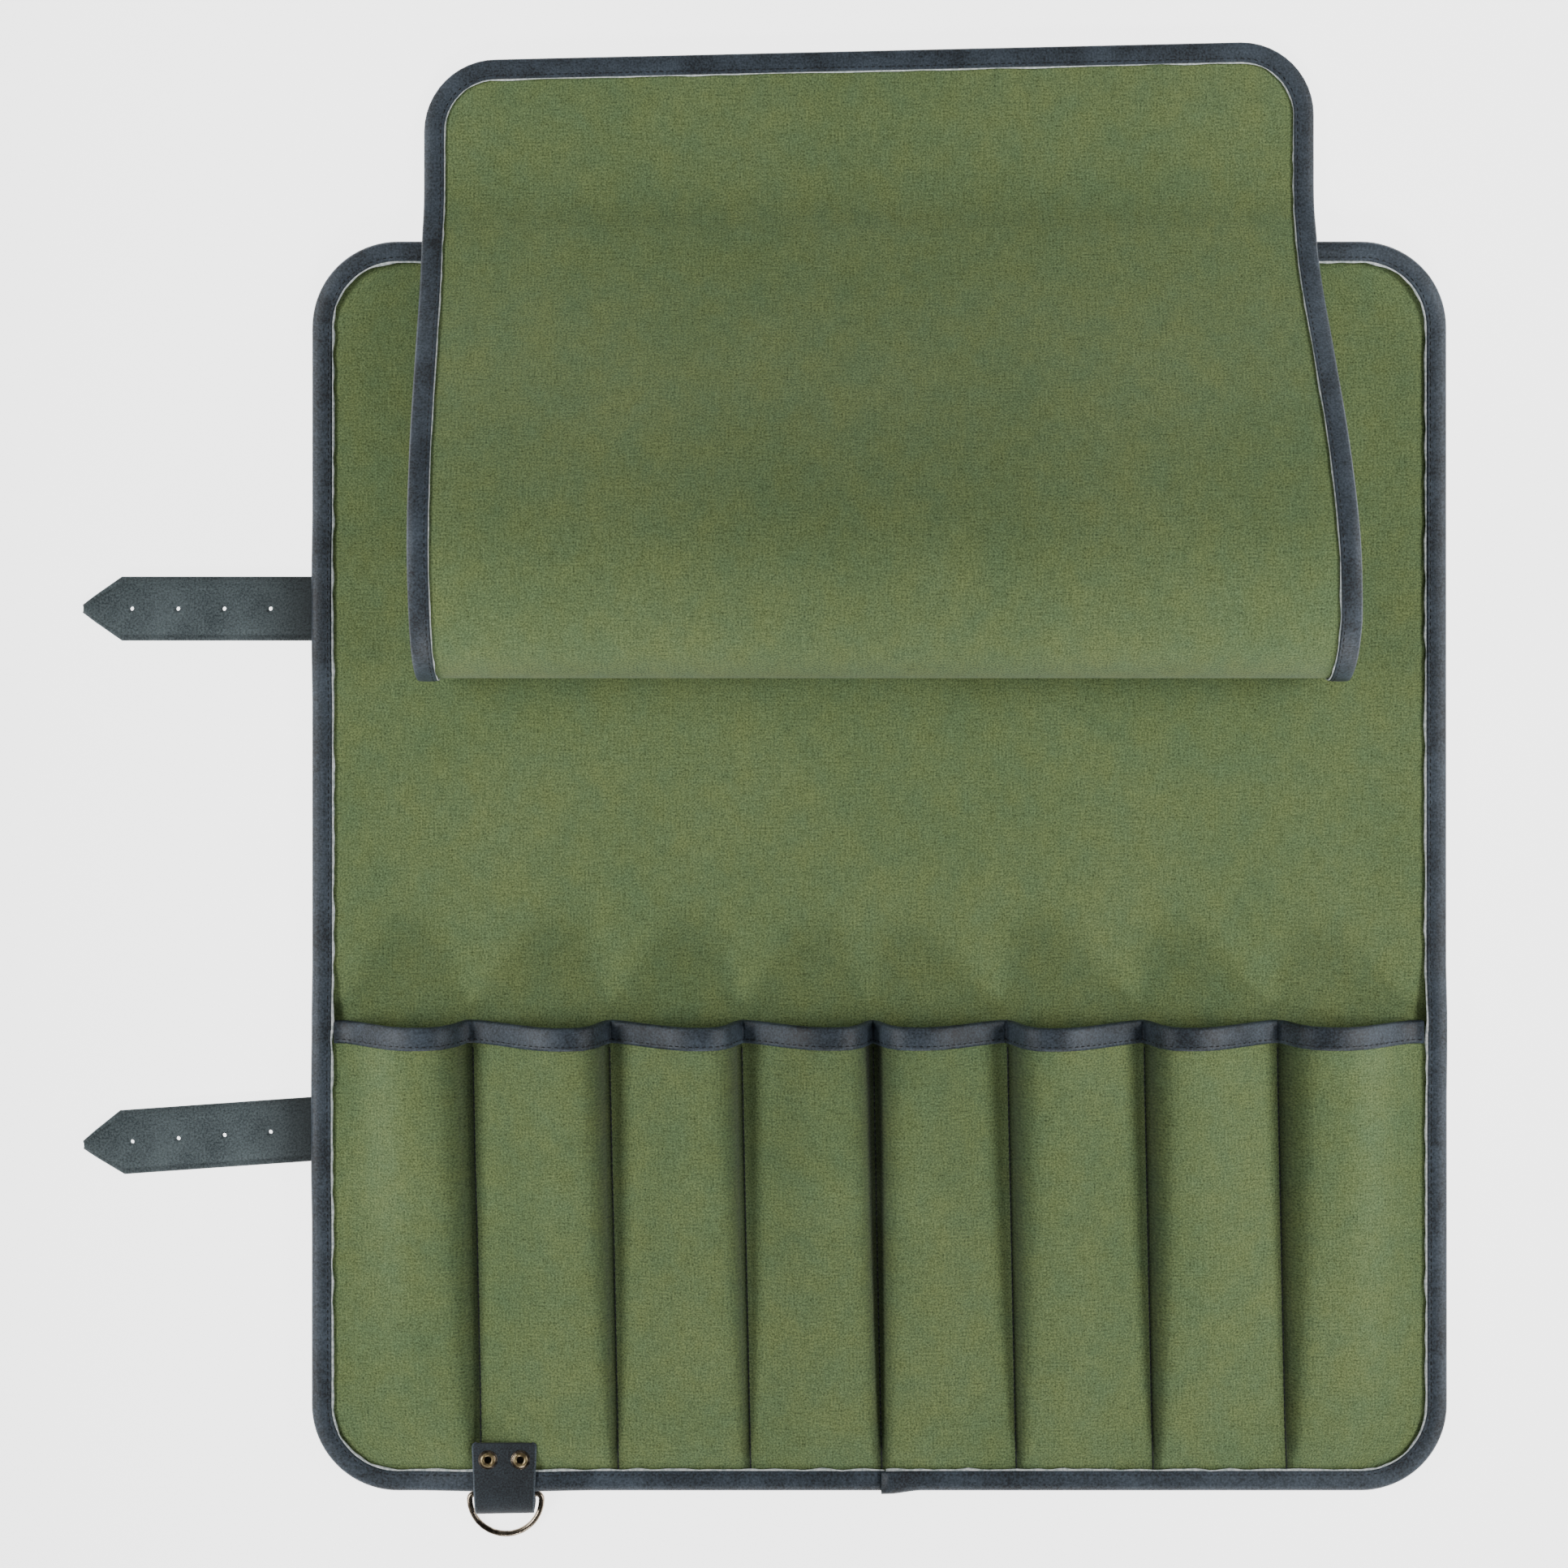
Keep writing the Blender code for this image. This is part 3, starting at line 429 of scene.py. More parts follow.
def leather_material(name, colour, worn_colour, roughness, grain_size, mottle_size):
    """Finished cowhide: a fine pebbled grain, with paler worn places and a low sheen."""
    material, tree, shader = new_material(name, colour, roughness)
    place = add_node(tree, "ShaderNodeTexCoord").outputs["Object"]
    mottle = noise_tone(tree, place, mottle_size, 5.0, 0.65)
    fleck = noise_tone(tree, place, grain_size, 2.0)
    tone = sum_of(tree, fleck, mottle, 0.5, 0.5)
    tree.links.new(two_tone(tree, tone, 0.38, colour, 0.66, worn_colour), shader.inputs["Base Color"])
    grain = add_node(tree, "ShaderNodeTexVoronoi", {"Scale": 1 / grain_size}, Vector=place)
    fine = noise_tone(tree, place, grain_size / 3, 3.0)
    relief = add_node(tree, "ShaderNodeMath", {"operation": "ADD"}, _0=grain.outputs["Distance"],
                      _1=fine)
    add_bump(tree, shader, relief.outputs[0], 0.35, 0.15 * MM)
    return material


binding_leather = leather_material("navy_binding_leather", "151B21", "4B5763", 0.52, 0.9 * MM, 22 * MM)
thread, _, _ = new_material("black_polyester_thread", "15181B", 0.6)
cut_edge, cut_tree, cut_shader = new_material("raw_canvas_edge", "C4D0D0", 0.9)
fray = noise_tone(cut_tree, add_node(cut_tree, "ShaderNodeTexCoord").outputs["Object"], 1.6 * MM, 2.0)
cut_tree.links.new(two_tone(cut_tree, fray, 0.35, "BCC8C8", 0.60, "F4F8F8"),
                   cut_shader.inputs["Base Color"])


def edge_stack(y):
    """Thickness of what the binding holds down on the panel: pocket sheet or flap."""
    sheet = (CANVAS + SEAM_CLEAR) * near(y, MOUTH_Y + MARGIN, DRAPE)
    mouth_mid = MOUTH_Y - POCKET_BINDING / 2
    mouth = (THIN_LEATHER + GAP) * near(abs(y - mouth_mid), POCKET_BINDING / 2 + MARGIN, DRAPE)
    flap = (CANVAS + GAP) * near(-y, -FLAP_EDGE_Y, DRAPE)
    return max(sheet + mouth, flap)


def binding_seat(x, y):
    """Height of the underside of the binding's upper leaf."""
    return panel_top(x, y) + edge_stack(y) + SEAM_CLEAR


def panel_outline(step):
    """Stations round the panel's outer edge, each (x, y, outward x, outward y, distance), from
    the joint in the bottom edge anticlockwise back to it."""
    stations = []
    joint = BINDING_JOINT_X
    corner_step = step / CORNER

    def run(start, end, out):
        length = math.dist(start, end)
        count = max(1, round(length / step))
        for k in range(count):
            share = k / count
            stations.append((mix(start[0], end[0], share), mix(start[1], end[1], share), *out))

    def turn(centre, start):
        count = max(2, round(math.pi / 2 / corner_step))
        for k in range(count):
            angle = math.radians(start) + math.pi / 2 * k / count
            out = (math.cos(angle), math.sin(angle))
            stations.append((centre[0] + CORNER * out[0], centre[1] + CORNER * out[1], *out))

    right, top = PANEL_WIDTH / 2, PANEL_LENGTH / 2
    run((joint + GAP, -top), (STRAIGHT_X, -top), (0, -1))
    turn((STRAIGHT_X, -STRAIGHT_Y), -90)
    run((right, -STRAIGHT_Y), (right, STRAIGHT_Y), (1, 0))
    turn((STRAIGHT_X, STRAIGHT_Y), 0)
    run((STRAIGHT_X, top), (-STRAIGHT_X, top), (0, 1))
    turn((-STRAIGHT_X, STRAIGHT_Y), 90)
    run((-right, STRAIGHT_Y), (-right, -STRAIGHT_Y), (-1, 0))
    turn((-STRAIGHT_X, -STRAIGHT_Y), 180)
    run((-STRAIGHT_X, -top), (joint - GAP, -top), (0, -1))
    stations.append((joint - GAP, -top, 0, -1))
    walked = 0.0
    measured = []
    for k, station in enumerate(stations):
        if k:
            walked += math.dist(station[:2], stations[k - 1][:2])
        measured.append((*station, walked))
    return measured


def folded_profile(width, half_stack, leather):
    """The folded strip's section as (inset, side): side is -1 on the lower leaf's middle, 1 on
    the upper leaf's. The upper leaf swells between the fold and the stitches, which pull it in."""
    fold = [(leather / 2 + half_stack * 0.5 * (1 - math.cos(math.radians(a))),
             math.sin(math.radians(a))) for a in (-90, -60, -30, 0, 30, 60, 90)]
    lower = [(width, -1.0), (width * 0.6, -1.0)]
    upper = [(width * 0.35, 1.10), (width * 0.55, 1.12), (width * 0.72, 1.05), (width * 0.82, 0.97),
             (width * 0.91, 1.0), (width, 0.94)]
    return lower + fold + upper


outline = panel_outline(3.0 * MM)
profile = folded_profile(BINDING, 2.2 * MM, LEATHER)


def binding_place(i, j):
    """A point of the folded strip. Its first end laps over its last."""
    x, y, out_x, out_y, walked = outline[i]
    inset, side = profile[j]
    low = underneath(x, y) + LEATHER / 2
    high = binding_seat(x, y) + LEATHER / 2
    height = mix(low, high, (side + 1) / 2)
    if side > -1:
        lap = ease(1 - walked / LAP_FADE) * (LEATHER + GAP)
        height += lap * (side + 1) / 2
        inset -= lap * (1 - inset / BINDING)
        x -= LAP if i == 0 else 0.0
    if side > 0.9:
        height += 0.25 * MM * max(0.0, noise.noise(Vector((walked * 40, inset * 90, 1.0))))
    return (x - out_x * inset, y - out_y * inset, height)


panel_edge = cloth_sheet("panel_binding_leather", len(outline), len(profile), binding_place,
                         lambda i, j: (outline[i][4], profile[j][0]), LEATHER, binding_leather)
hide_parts("panel_binding")


def edge_tape(name, stations, place_at, width):
    """The pale cut edge beside a binding: a thin uneven strip; place_at(station, inset) says
    where its upper surface lies."""
    def place(i, j):
        ragged = 0.75 + 0.5 * noise.noise(Vector((i * 0.37, 5.0, j * 0.1)))
        return place_at(stations[i], (j / 2) * width * ragged)

    return cloth_sheet(name, len(stations), 3, place, lambda i, j: (i * MM, j * MM), 0.35 * MM,
                       cut_edge)


def panel_tape_place(station, inset):
    x, y, out_x, out_y, _ = station
    inset += BINDING - 0.4 * MM
    px, py = x - out_x * inset, y - out_y * inset
    level = binding_seat(x, y) + LEATHER * 0.75 - max(0.0, inset - BINDING) * 0.4
    return (px, py, level)


edge_tape("panel_cut_edge", outline, panel_tape_place, CUT_EDGE)


def stitch_row(name, spots, length=2.1 * MM, width=0.55 * MM):
    """Thread showing as short stitches, one at each (place, direction along the seam, up)."""
    shape = bmesh.new()
    for spot, along, up in spots:
        side = up.cross(along).normalized()
        turn = Matrix((along.normalized() * length / 2, side * width / 2, up * width / 2)).transposed()
        bmesh.ops.create_icosphere(shape, subdivisions=1, radius=1.0,
                                   matrix=Matrix.Translation(spot) @ turn.to_4x4())
    for face in shape.faces:
        face.smooth = True
    return new_piece(name, shape, [thread], "roll")


def along_line(points, pitch):
    """Places at an even pitch along a line of points, each (place, direction)."""
    spots = []
    next_at = pitch / 2
    walked = 0.0
    for start, end in zip(points, points[1:]):
        length = (end - start).length
        while length > 0 and next_at <= walked + length:
            share = (next_at - walked) / length
            spots.append((start.lerp(end, share), (end - start).normalized()))
            next_at += pitch
        walked += length
    return spots


UP = Vector((0, 0, 1))
seam_line = [Vector((x - ox * STITCH_INSET, y - oy * STITCH_INSET,
                     binding_seat(x, y) + LEATHER)) for x, y, ox, oy, _ in outline]
stitch_row("panel_binding_stitches", [(p, d, UP) for p, d in along_line(seam_line, STITCH_PITCH)])

# Pockets
# One canvas sheet lies over the lower part of the panel and is sewn down in seven seams, which
# leaves eight pockets. The cloth stays puffed where blades have stretched it, flat at its foot.
MOUTH_DIP = 2.0 * MM
PUFF = 20.0 * MM
PUFF_FADE = 0.45
WALL_STEEPNESS = 3.8
POCKET_STEPS = 28
POCKET_FOOT = 13.0 * MM
SEAM_SLANT = 4.0 * MM
POCKET_INSET = EDGE_INSET + LEATHER
MOUTH_INSET = THIN_LEATHER + 3 * GAP
POCKETS = (
    {"right": 0.141, "crest": 0.62, "height": 0.95, "flat_left": 0.17, "flat_right": 0.05},
    {"right": 0.263, "crest": 0.66, "height": 1.00, "flat_left": 0.03, "flat_right": 0.03},
    {"right": 0.381, "crest": 0.66, "height": 0.95, "flat_left": 0.03, "flat_right": 0.03},
    {"right": 0.498, "crest": 0.65, "height": 0.90, "flat_left": 0.03, "flat_right": 0.03},
    {"right": 0.618, "crest": 0.35, "height": 0.90, "flat_left": 0.03, "flat_right": 0.03},
    {"right": 0.740, "crest": 0.34, "height": 1.00, "flat_left": 0.03, "flat_right": 0.03},
    {"right": 0.859, "crest": 0.34, "height": 0.95, "flat_left": 0.03, "flat_right": 0.03},
    {"right": 1.000, "crest": 0.37, "height": 0.90, "flat_left": 0.04, "flat_right": 0.17},
)


def pocket_rise(share, pocket, fade=1.0):
    """How far the pocket stands up across its width, from 0 at the seams to its crest. The side
    nearer the crest drops steeply to its seam, and the other leans gently away. Lower down, where
    the whole pocket fades, that side drops over a shorter way."""
    start, crest, end = pocket["flat_left"], pocket["crest"], 1 - pocket["flat_right"]
    if share <= crest:
        way, short = (share - start) / (crest - start), crest < 0.5
    else:
        way, short = (end - share) / (end - crest), crest > 0.5
    way = min(1.0, max(0.0, way))
    if short:
        rise = 1 - (1 - way) ** (WALL_STEEPNESS / max(fade, 0.25))
    else:
        rise = mix(ease(way), math.sin(way * math.pi / 2), 0.5)
    return rise * pocket["height"]


pocket_columns = []
left_seam = 0.0
for pocket in POCKETS:
    shares = [(1 - math.cos(math.pi * k / POCKET_STEPS)) / 2 for k in range(POCKET_STEPS)]
    pocket_columns += [(share, pocket, left_seam, pocket["right"]) for share in shares]
    left_seam = pocket["right"]
pocket_columns.append((1.0, POCKETS[-1], POCKETS[-2]["right"], 1.0))


def pocket_point(column, y):
    """A point of the pocket sheet's middle surface, before any dip of the mouth."""
    share, pocket, left, right = column
    depth = (MOUTH_Y - y) / (MOUTH_Y + PANEL_TOP - POCKET_FOOT)
    full = PANEL_WIDTH - 2 * POCKET_INSET
    x = -full / 2 + full * mix(left, right, share)
    inner = min(1.0, (full / 2 - abs(x)) / (PANEL_WIDTH / 8))
    x += (depth - 0.5) * SEAM_SLANT * inner
    x = squeeze(x, y, POCKET_INSET)
    fade = max(0.0, 1 - depth) ** PUFF_FADE
    rise = pocket_rise(share, pocket, fade) * PUFF * fade
    over_binding = (THIN_LEATHER + GAP) * near(MOUTH_Y - y, POCKET_BINDING + 2 * GAP, DRAPE * 0.8)
    base = panel_top(x, y) + SEAM_CLEAR + CANVAS / 2
    return Vector((x, y, base + over_binding + rise))


def mouth_point(column, below=0.0):
    """A point of the mouth's edge, or this far down the sheet from it."""
    dip = MOUTH_DIP * pocket_rise(column[0], column[1])
    settle = near(below, 0.0, 25 * MM)
    return pocket_point(column, MOUTH_Y - MOUTH_INSET - below) - Vector((0, dip * settle, 0))


pocket_rows = spread(0.0, STRAIGHT_Y + MOUTH_Y - MOUTH_INSET, 3.5 * MM)
foot_rows = [y + MOUTH_Y - MOUTH_INSET for y in corner_heights(POCKET_INSET, 10)[1:]]
pocket_rows += foot_rows


def pocket_painted_shade(i, j):
    """Painted shade in the crease beside a seam: how far the colour is darkened there, most on the
    side that drops steeply."""
    share, pocket, left, right = pocket_columns[i]
    width = (right - left) * (PANEL_WIDTH - 2 * POCKET_INSET)
    steep, gentle = share * width, (1 - share) * width
    if pocket["crest"] > 0.5:
        steep, gentle = gentle, steep
    reach = mix(12 * MM, 5 * MM, pocket_rows[j] / pocket_rows[-1])
    return 0.75 * ease(1 - steep / reach) + 0.25 * ease(1 - gentle / (4 * MM))


pocket_cloth = cloth_sheet(
    "pocket_cloth", len(pocket_columns), len(pocket_rows),
    lambda i, j: mouth_point(pocket_columns[i], pocket_rows[j]),
    lambda i, j: (pocket_point(pocket_columns[i], MOUTH_Y).x + 0.7, pocket_rows[j]),
    CANVAS, canvas, painted_shade_and_wear=pocket_painted_shade)
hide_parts("pocket_sheet")

seam_spots = []
for number, pocket in enumerate(POCKETS[1:]):
    column = (0.0, pocket, POCKETS[number]["right"], pocket["right"])
    line = [mouth_point(column, below) + Vector((0, 0, CANVAS / 2))
            for below in spread(POCKET_BINDING, STRAIGHT_Y + CORNER + MOUTH_Y - BINDING - MOUTH_INSET,
                                4 * MM)]
    seam_spots += [(p, d, UP) for p, d in along_line(line, STITCH_PITCH)]
# The stitches are drawn long and wide enough to overlap in one unbroken dark line. This is thread, and with
# it painted shade of the crease along each seam.
stitch_row("pocket_seam_stitches_and_shade", seam_spots, length=3.8 * MM, width=0.8 * MM)

# Pockets' binding
# A narrower, thinner strip of the same leather folded over the pockets' mouths, pinched flat
# where the seams cross it, with its own row of stitches near the lower lip.
MOUTH_BRIDGE = 3.0 * MM
mouth_columns = [c for c in pocket_columns[::2] if abs(mouth_point(c).x) < PANEL_WIDTH / 2 - BINDING - GAP]


def bridged(points, reach):
    """A line that rounds the sharp turns of the given one, as a stiff strip does: each point is
    averaged with those within reach."""
    line = []
    for point in points:
        weights = [max(0.0, 1 - abs(other.x - point.x) / reach) for other in points]
        total = sum((other * weight for other, weight in zip(points, weights)), Vector())
        line.append(total / sum(weights))
    return line


mouth_edges = bridged([mouth_point(column) for column in mouth_columns], MOUTH_BRIDGE)
mouth_feet = bridged([mouth_point(column, POCKET_BINDING - MOUTH_INSET) for column in mouth_columns],
                     MOUTH_BRIDGE)
mouth_profile = folded_profile(POCKET_BINDING, 1.3 * MM, THIN_LEATHER)
MOUTH_OFF = CANVAS / 2 + GAP + THIN_LEATHER / 2


def mouth_place(i, j, inset=None, side=None):
    """A point of the folded strip over the mouth, square to the cloth that it holds."""
    here = min(max(i, 1), len(mouth_edges) - 2)
    back = (mouth_edges[here] - mouth_edges[here - 1]).normalized()
    ahead = (mouth_edges[here + 1] - mouth_edges[here]).normalized()
    down = (mouth_feet[i] - mouth_edges[i]).normalized()
    across = back + ahead
    normal = down.cross(across).normalized() * min(1.3, 2 / across.length)
    if inset is None:
        inset, side = mouth_profile[j]
    return mouth_edges[i] + down * (inset - MOUTH_INSET) + normal * (MOUTH_OFF * side)


mouth_strip = cloth_sheet("pocket_binding_leather", len(mouth_edges), len(mouth_profile), mouth_place,
                          lambda i, j: (i * MM, mouth_profile[j][0]), THIN_LEATHER, binding_leather,
                          even=False)
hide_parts("pocket_binding")
mouth_seam = [mouth_place(i, 0, POCKET_BINDING - 1.6 * MM, 1.42) for i in range(len(mouth_edges))]
stitch_row("pocket_binding_stitches", [(p, d, UP) for p, d in along_line(mouth_seam, STITCH_PITCH)])

# Flap
# A narrower canvas cover, sewn under the binding at the panel's top edge. It lies down over the
# panel, rises in a broad soft fold, and runs back past the panel's edge to lie on the table.
FLAP_LEFT = PANEL_LEFT + 49 * MM
FLAP_WIDTH = 391 * MM
FLAP_FLARE = 11 * MM
FLAP_REACH = 192 * MM
FLAP_BEYOND = 84 * MM
FLAP_SLANT = 9 * MM
FOLD_HEIGHT = 60 * MM
FLAP_CORNER = 32 * MM
FLAP_BINDING = 9.0 * MM
FLAP_STEPS = 9
FLAP_LINE = (
    {"reach": 0.110, "height": 0.00},
    {"reach": 0.350, "height": 0.00},
    {"reach": 0.600, "height": 0.00},
    {"reach": 0.820, "height": 0.01},
    {"reach": 0.955, "height": 0.14},
    {"reach": 1.000, "height": 0.43},
    {"reach": 0.950, "height": 0.76},
    {"reach": 0.840, "height": 0.94},
    {"reach": 0.690, "height": 1.00},
    {"reach": 0.490, "height": 0.84},
    {"reach": 0.280, "height": 0.52},
    {"reach": 0.120, "height": 0.26},
    {"reach": 0.000, "height": 0.125},
    {"reach": -0.200, "height": 0.015},
    {"reach": -0.450, "height": 0.00},
    {"reach": -0.620, "height": 0.00},
)


def smooth_line(points, steps):
    """Points of a smooth curve through the given ones, steps to each stretch."""
    ends = [points[0]] + list(points) + [points[-1]]
    line = []
    for before, start, end, after in zip(ends, ends[1:], ends[2:], ends[3:]):
        for k in range(steps):
            t = k / steps
            line.append(tuple(
                0.5 * (2 * b + (c - a) * t + (2 * a - 5 * b + 4 * c - d) * t ** 2
                       + (3 * b - a - 3 * c + d) * t ** 3)
                for a, b, c, d in zip(before, start, end, after)))
    line.append(tuple(points[-1]))
    return line


def flap_line():
    """The flap's middle line from its sewn edge: (y, height, how much it lies on the panel)."""
    bound = THIN_LEATHER + GAP
    on_panel = PANEL_WALL + 3 * GAP + bound + CANVAS / 2
    on_table = bound + CANVAS / 2
    folded = []
    lying = True
    for row in FLAP_LINE:
        lying = lying and row["height"] < 0.1
        reach = row["reach"] * (FLAP_BEYOND if row["reach"] <= 0 else FLAP_REACH)
        rest = on_panel if lying else on_table
        height = rest + row["height"] * (FOLD_HEIGHT - rest)
        folded.append((PANEL_TOP - reach, height, 1.0 if lying else 0.0))
    sewn = PANEL_WALL + GAP + CANVAS / 2
    start = [(PANEL_TOP - BINDING / 2, sewn, 1.0), (FLAP_EDGE_Y + MARGIN, sewn, 1.0)]
    last = folded[-1][0]
    end = [(y, on_table, 0.0) for y in spread(last, PANEL_TOP + FLAP_BEYOND, 6 * MM)[1:]]
    return start + smooth_line(folded, FLAP_STEPS) + end


flap_points = flap_line()
flap_lengths = [0.0]
for (y0, z0, _), (y1, z1, _) in zip(flap_points, flap_points[1:]):
    flap_lengths.append(flap_lengths[-1] + math.hypot(y1 - y0, z1 - z0))
flap_normals = []
for k in range(len(flap_points)):
    y0, z0, _ = flap_points[max(0, k - 1)]
    y1, z1, _ = flap_points[min(len(flap_points) - 1, k + 1)]
    size = math.hypot(y1 - y0, z1 - z0)
    flap_normals.append(((z1 - z0) / size, -(y1 - y0) / size))
flap_fold = flap_lengths[min(range(len(flap_points)), key=lambda k: flap_points[k][0])]


def flap_wave(x, y, along):
    """Slow waves of the upper layer where it hangs free between the fold and the table."""
    free = ease((along - flap_fold - 30 * MM) / (50 * MM)) * ease((PANEL_TOP - 12 * MM - y) / (40 * MM))
    wave = noise.noise(Vector((x * 6.0, y * 5.0, 11.0)))
    return 2.2 * MM * wave * free


def flap_point(x, along, off=0.0):
    """A point on the flap at x, this far along it, and this far off its middle surface."""
    low, high = 0, len(flap_lengths) - 1
    while high - low > 1:
        middle = (low + high) // 2
        if flap_lengths[middle] <= along:
            low = middle
        else:
            high = middle
    share = (along - flap_lengths[low]) / (flap_lengths[high] - flap_lengths[low])
    y, z, lying = (mix(a, b, share) for a, b in zip(flap_points[low], flap_points[high]))
    normal_y, normal_z = (mix(a, b, share) for a, b in zip(flap_normals[low], flap_normals[high]))
    size = math.hypot(normal_y, normal_z)
    z += lift(x, y) * lying + flap_wave(x, y, along)
    return Vector((x, y + off * normal_y / size, z + off * normal_z / size))


def flap_edges(along):
    """The flap's left and right edges over its binding, widest at the fold."""
    flare = FLAP_FLARE * near(abs(along - flap_fold) / FLAP_REACH, 0.2, 0.9)
    return FLAP_LEFT, FLAP_LEFT + FLAP_WIDTH + flare


def flap_length(x):
    """Where the free end lies along the flap, which runs further on the right."""
    return flap_lengths[-1] + FLAP_SLANT * ((x - FLAP_LEFT) / FLAP_WIDTH - 0.5)


def flap_corner(side, angle, inset):
    """A point (x, along) of the free end's round corner; side is -1 left and 1 right."""
    x = (FLAP_LEFT if side < 0 else FLAP_LEFT + FLAP_WIDTH) - side * FLAP_CORNER
    radius = FLAP_CORNER - inset
    return (x + radius * side * math.cos(angle),
            flap_length(x) - FLAP_CORNER + radius * math.sin(angle))


flap_corner_from = flap_length(FLAP_LEFT) - FLAP_CORNER
flap_rows = [along for along in flap_lengths if along < flap_corner_from - 2 * MM]
flap_angles = [math.radians(90 * k / 12) for k in range(13)]
flap_shares = spread(0.0, 1.0, 1 / 90)
FLAP_INSET = THIN_LEATHER + 3 * GAP


def flap_flat(i, j):
    """(x, along) of a grid point of the flap."""
    if j < len(flap_rows):
        left, right = flap_edges(flap_rows[j])
        return (mix(left + FLAP_INSET, right - FLAP_INSET, flap_shares[i]), flap_rows[j])
    angle = flap_angles[j - len(flap_rows)]
    left = flap_corner(-1, angle, FLAP_INSET)
    right = flap_corner(1, angle, FLAP_INSET)
    return (mix(left[0], right[0], flap_shares[i]), mix(left[1], right[1], flap_shares[i]))


flap_cloth = cloth_sheet("flap_cloth", len(flap_shares), len(flap_rows) + len(flap_angles),
                         lambda i, j: flap_point(*flap_flat(i, j)), flap_flat, CANVAS, canvas)
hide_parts("flap")

# Flap's binding
# The same thin leather strip round the flap's sides and free end, sewn through, with the pale
# cut edge beside it on the face that shows.
flap_profile = folded_profile(FLAP_BINDING, 1.3 * MM, THIN_LEATHER)
FLAP_OFF = CANVAS / 2 + GAP + THIN_LEATHER / 2
bound_from = FLAP_EDGE_Y - DRAPE / 2
first_row = next(k for k, point in enumerate(flap_points) if point[0] < bound_from)
bound_rows = [along for along in flap_lengths[first_row:] if along < flap_corner_from - 2 * MM]
end_left = flap_corner(-1, math.pi / 2, 0.0)[0]
end_right = flap_corner(1, math.pi / 2, 0.0)[0]
flap_stations = [("left", along) for along in bound_rows]
flap_stations += [("left_corner", angle) for angle in flap_angles]
flap_stations += [("end", x) for x in spread(end_left, end_right, 5 * MM)[1:-1]]
flap_stations += [("right_corner", angle) for angle in reversed(flap_angles)]
flap_stations += [("right", along) for along in reversed(bound_rows)]


def flap_border(station, inset):
    """(x, along) this far in from the flap's edge at a station."""
    kind, where = station
    if kind == "left":
        return (flap_edges(where)[0] + inset, where)
    if kind == "right":
        return (flap_edges(where)[1] - inset, where)
    if kind == "end":
        return (where, flap_length(where) - inset)
    return flap_corner(-1 if kind == "left_corner" else 1, where, inset)


flap_edge = cloth_sheet(
    "flap_binding_leather", len(flap_stations), len(flap_profile),
    lambda i, j: flap_point(*flap_border(flap_stations[i], flap_profile[j][0]),
                            -FLAP_OFF * flap_profile[j][1]),
    lambda i, j: (i * MM, flap_profile[j][0]), THIN_LEATHER, binding_leather)
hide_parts("flap_binding")


def flap_tape_place(station, inset):
    x, along = flap_border(station, inset + FLAP_BINDING - 0.4 * MM)
    return flap_point(x, along, -(CANVAS / 2 + GAP + 0.75 * MM - inset * 0.4))


edge_tape("flap_cut_edge", flap_stations, flap_tape_place, FLAP_CUT_EDGE)
flap_seam = [flap_point(*flap_border(station, FLAP_BINDING - 1.6 * MM), -(FLAP_OFF + THIN_LEATHER / 2))
             for station in flap_stations]
flap_inner = [flap_point(*flap_border(station, FLAP_BINDING - 1.6 * MM), 0.0)
              for station in flap_stations]
flap_up = [(outer - inner).normalized() for outer, inner in zip(flap_seam, flap_inner)]
flap_spots = []
for spot, along in along_line(flap_seam, STITCH_PITCH):
    nearest = min(range(len(flap_seam)), key=lambda k: (flap_seam[k] - spot).length_squared)
    flap_spots.append((spot, along, flap_up[nearest]))
stitch_row("flap_binding_stitches", flap_spots)

# Straps
# Thick leather with its suede side up, cut to a point, with a line creased along each edge and
# four punched holes. Each runs flat under the panel, to which it is sewn.
STRAP_FREE = 100.7 * MM
STRAP_POINT = 17 * MM
STRAP_TURN = {"strap_upper": 0.0, "strap_lower": math.radians(4.0)}
STRAP_CREASE = 2.3 * MM
HOLE_RADIUS = 0.95 * MM
HOLE_PITCH = 20.3 * MM
FIRST_HOLE = 21.3 * MM
HOLES = 4


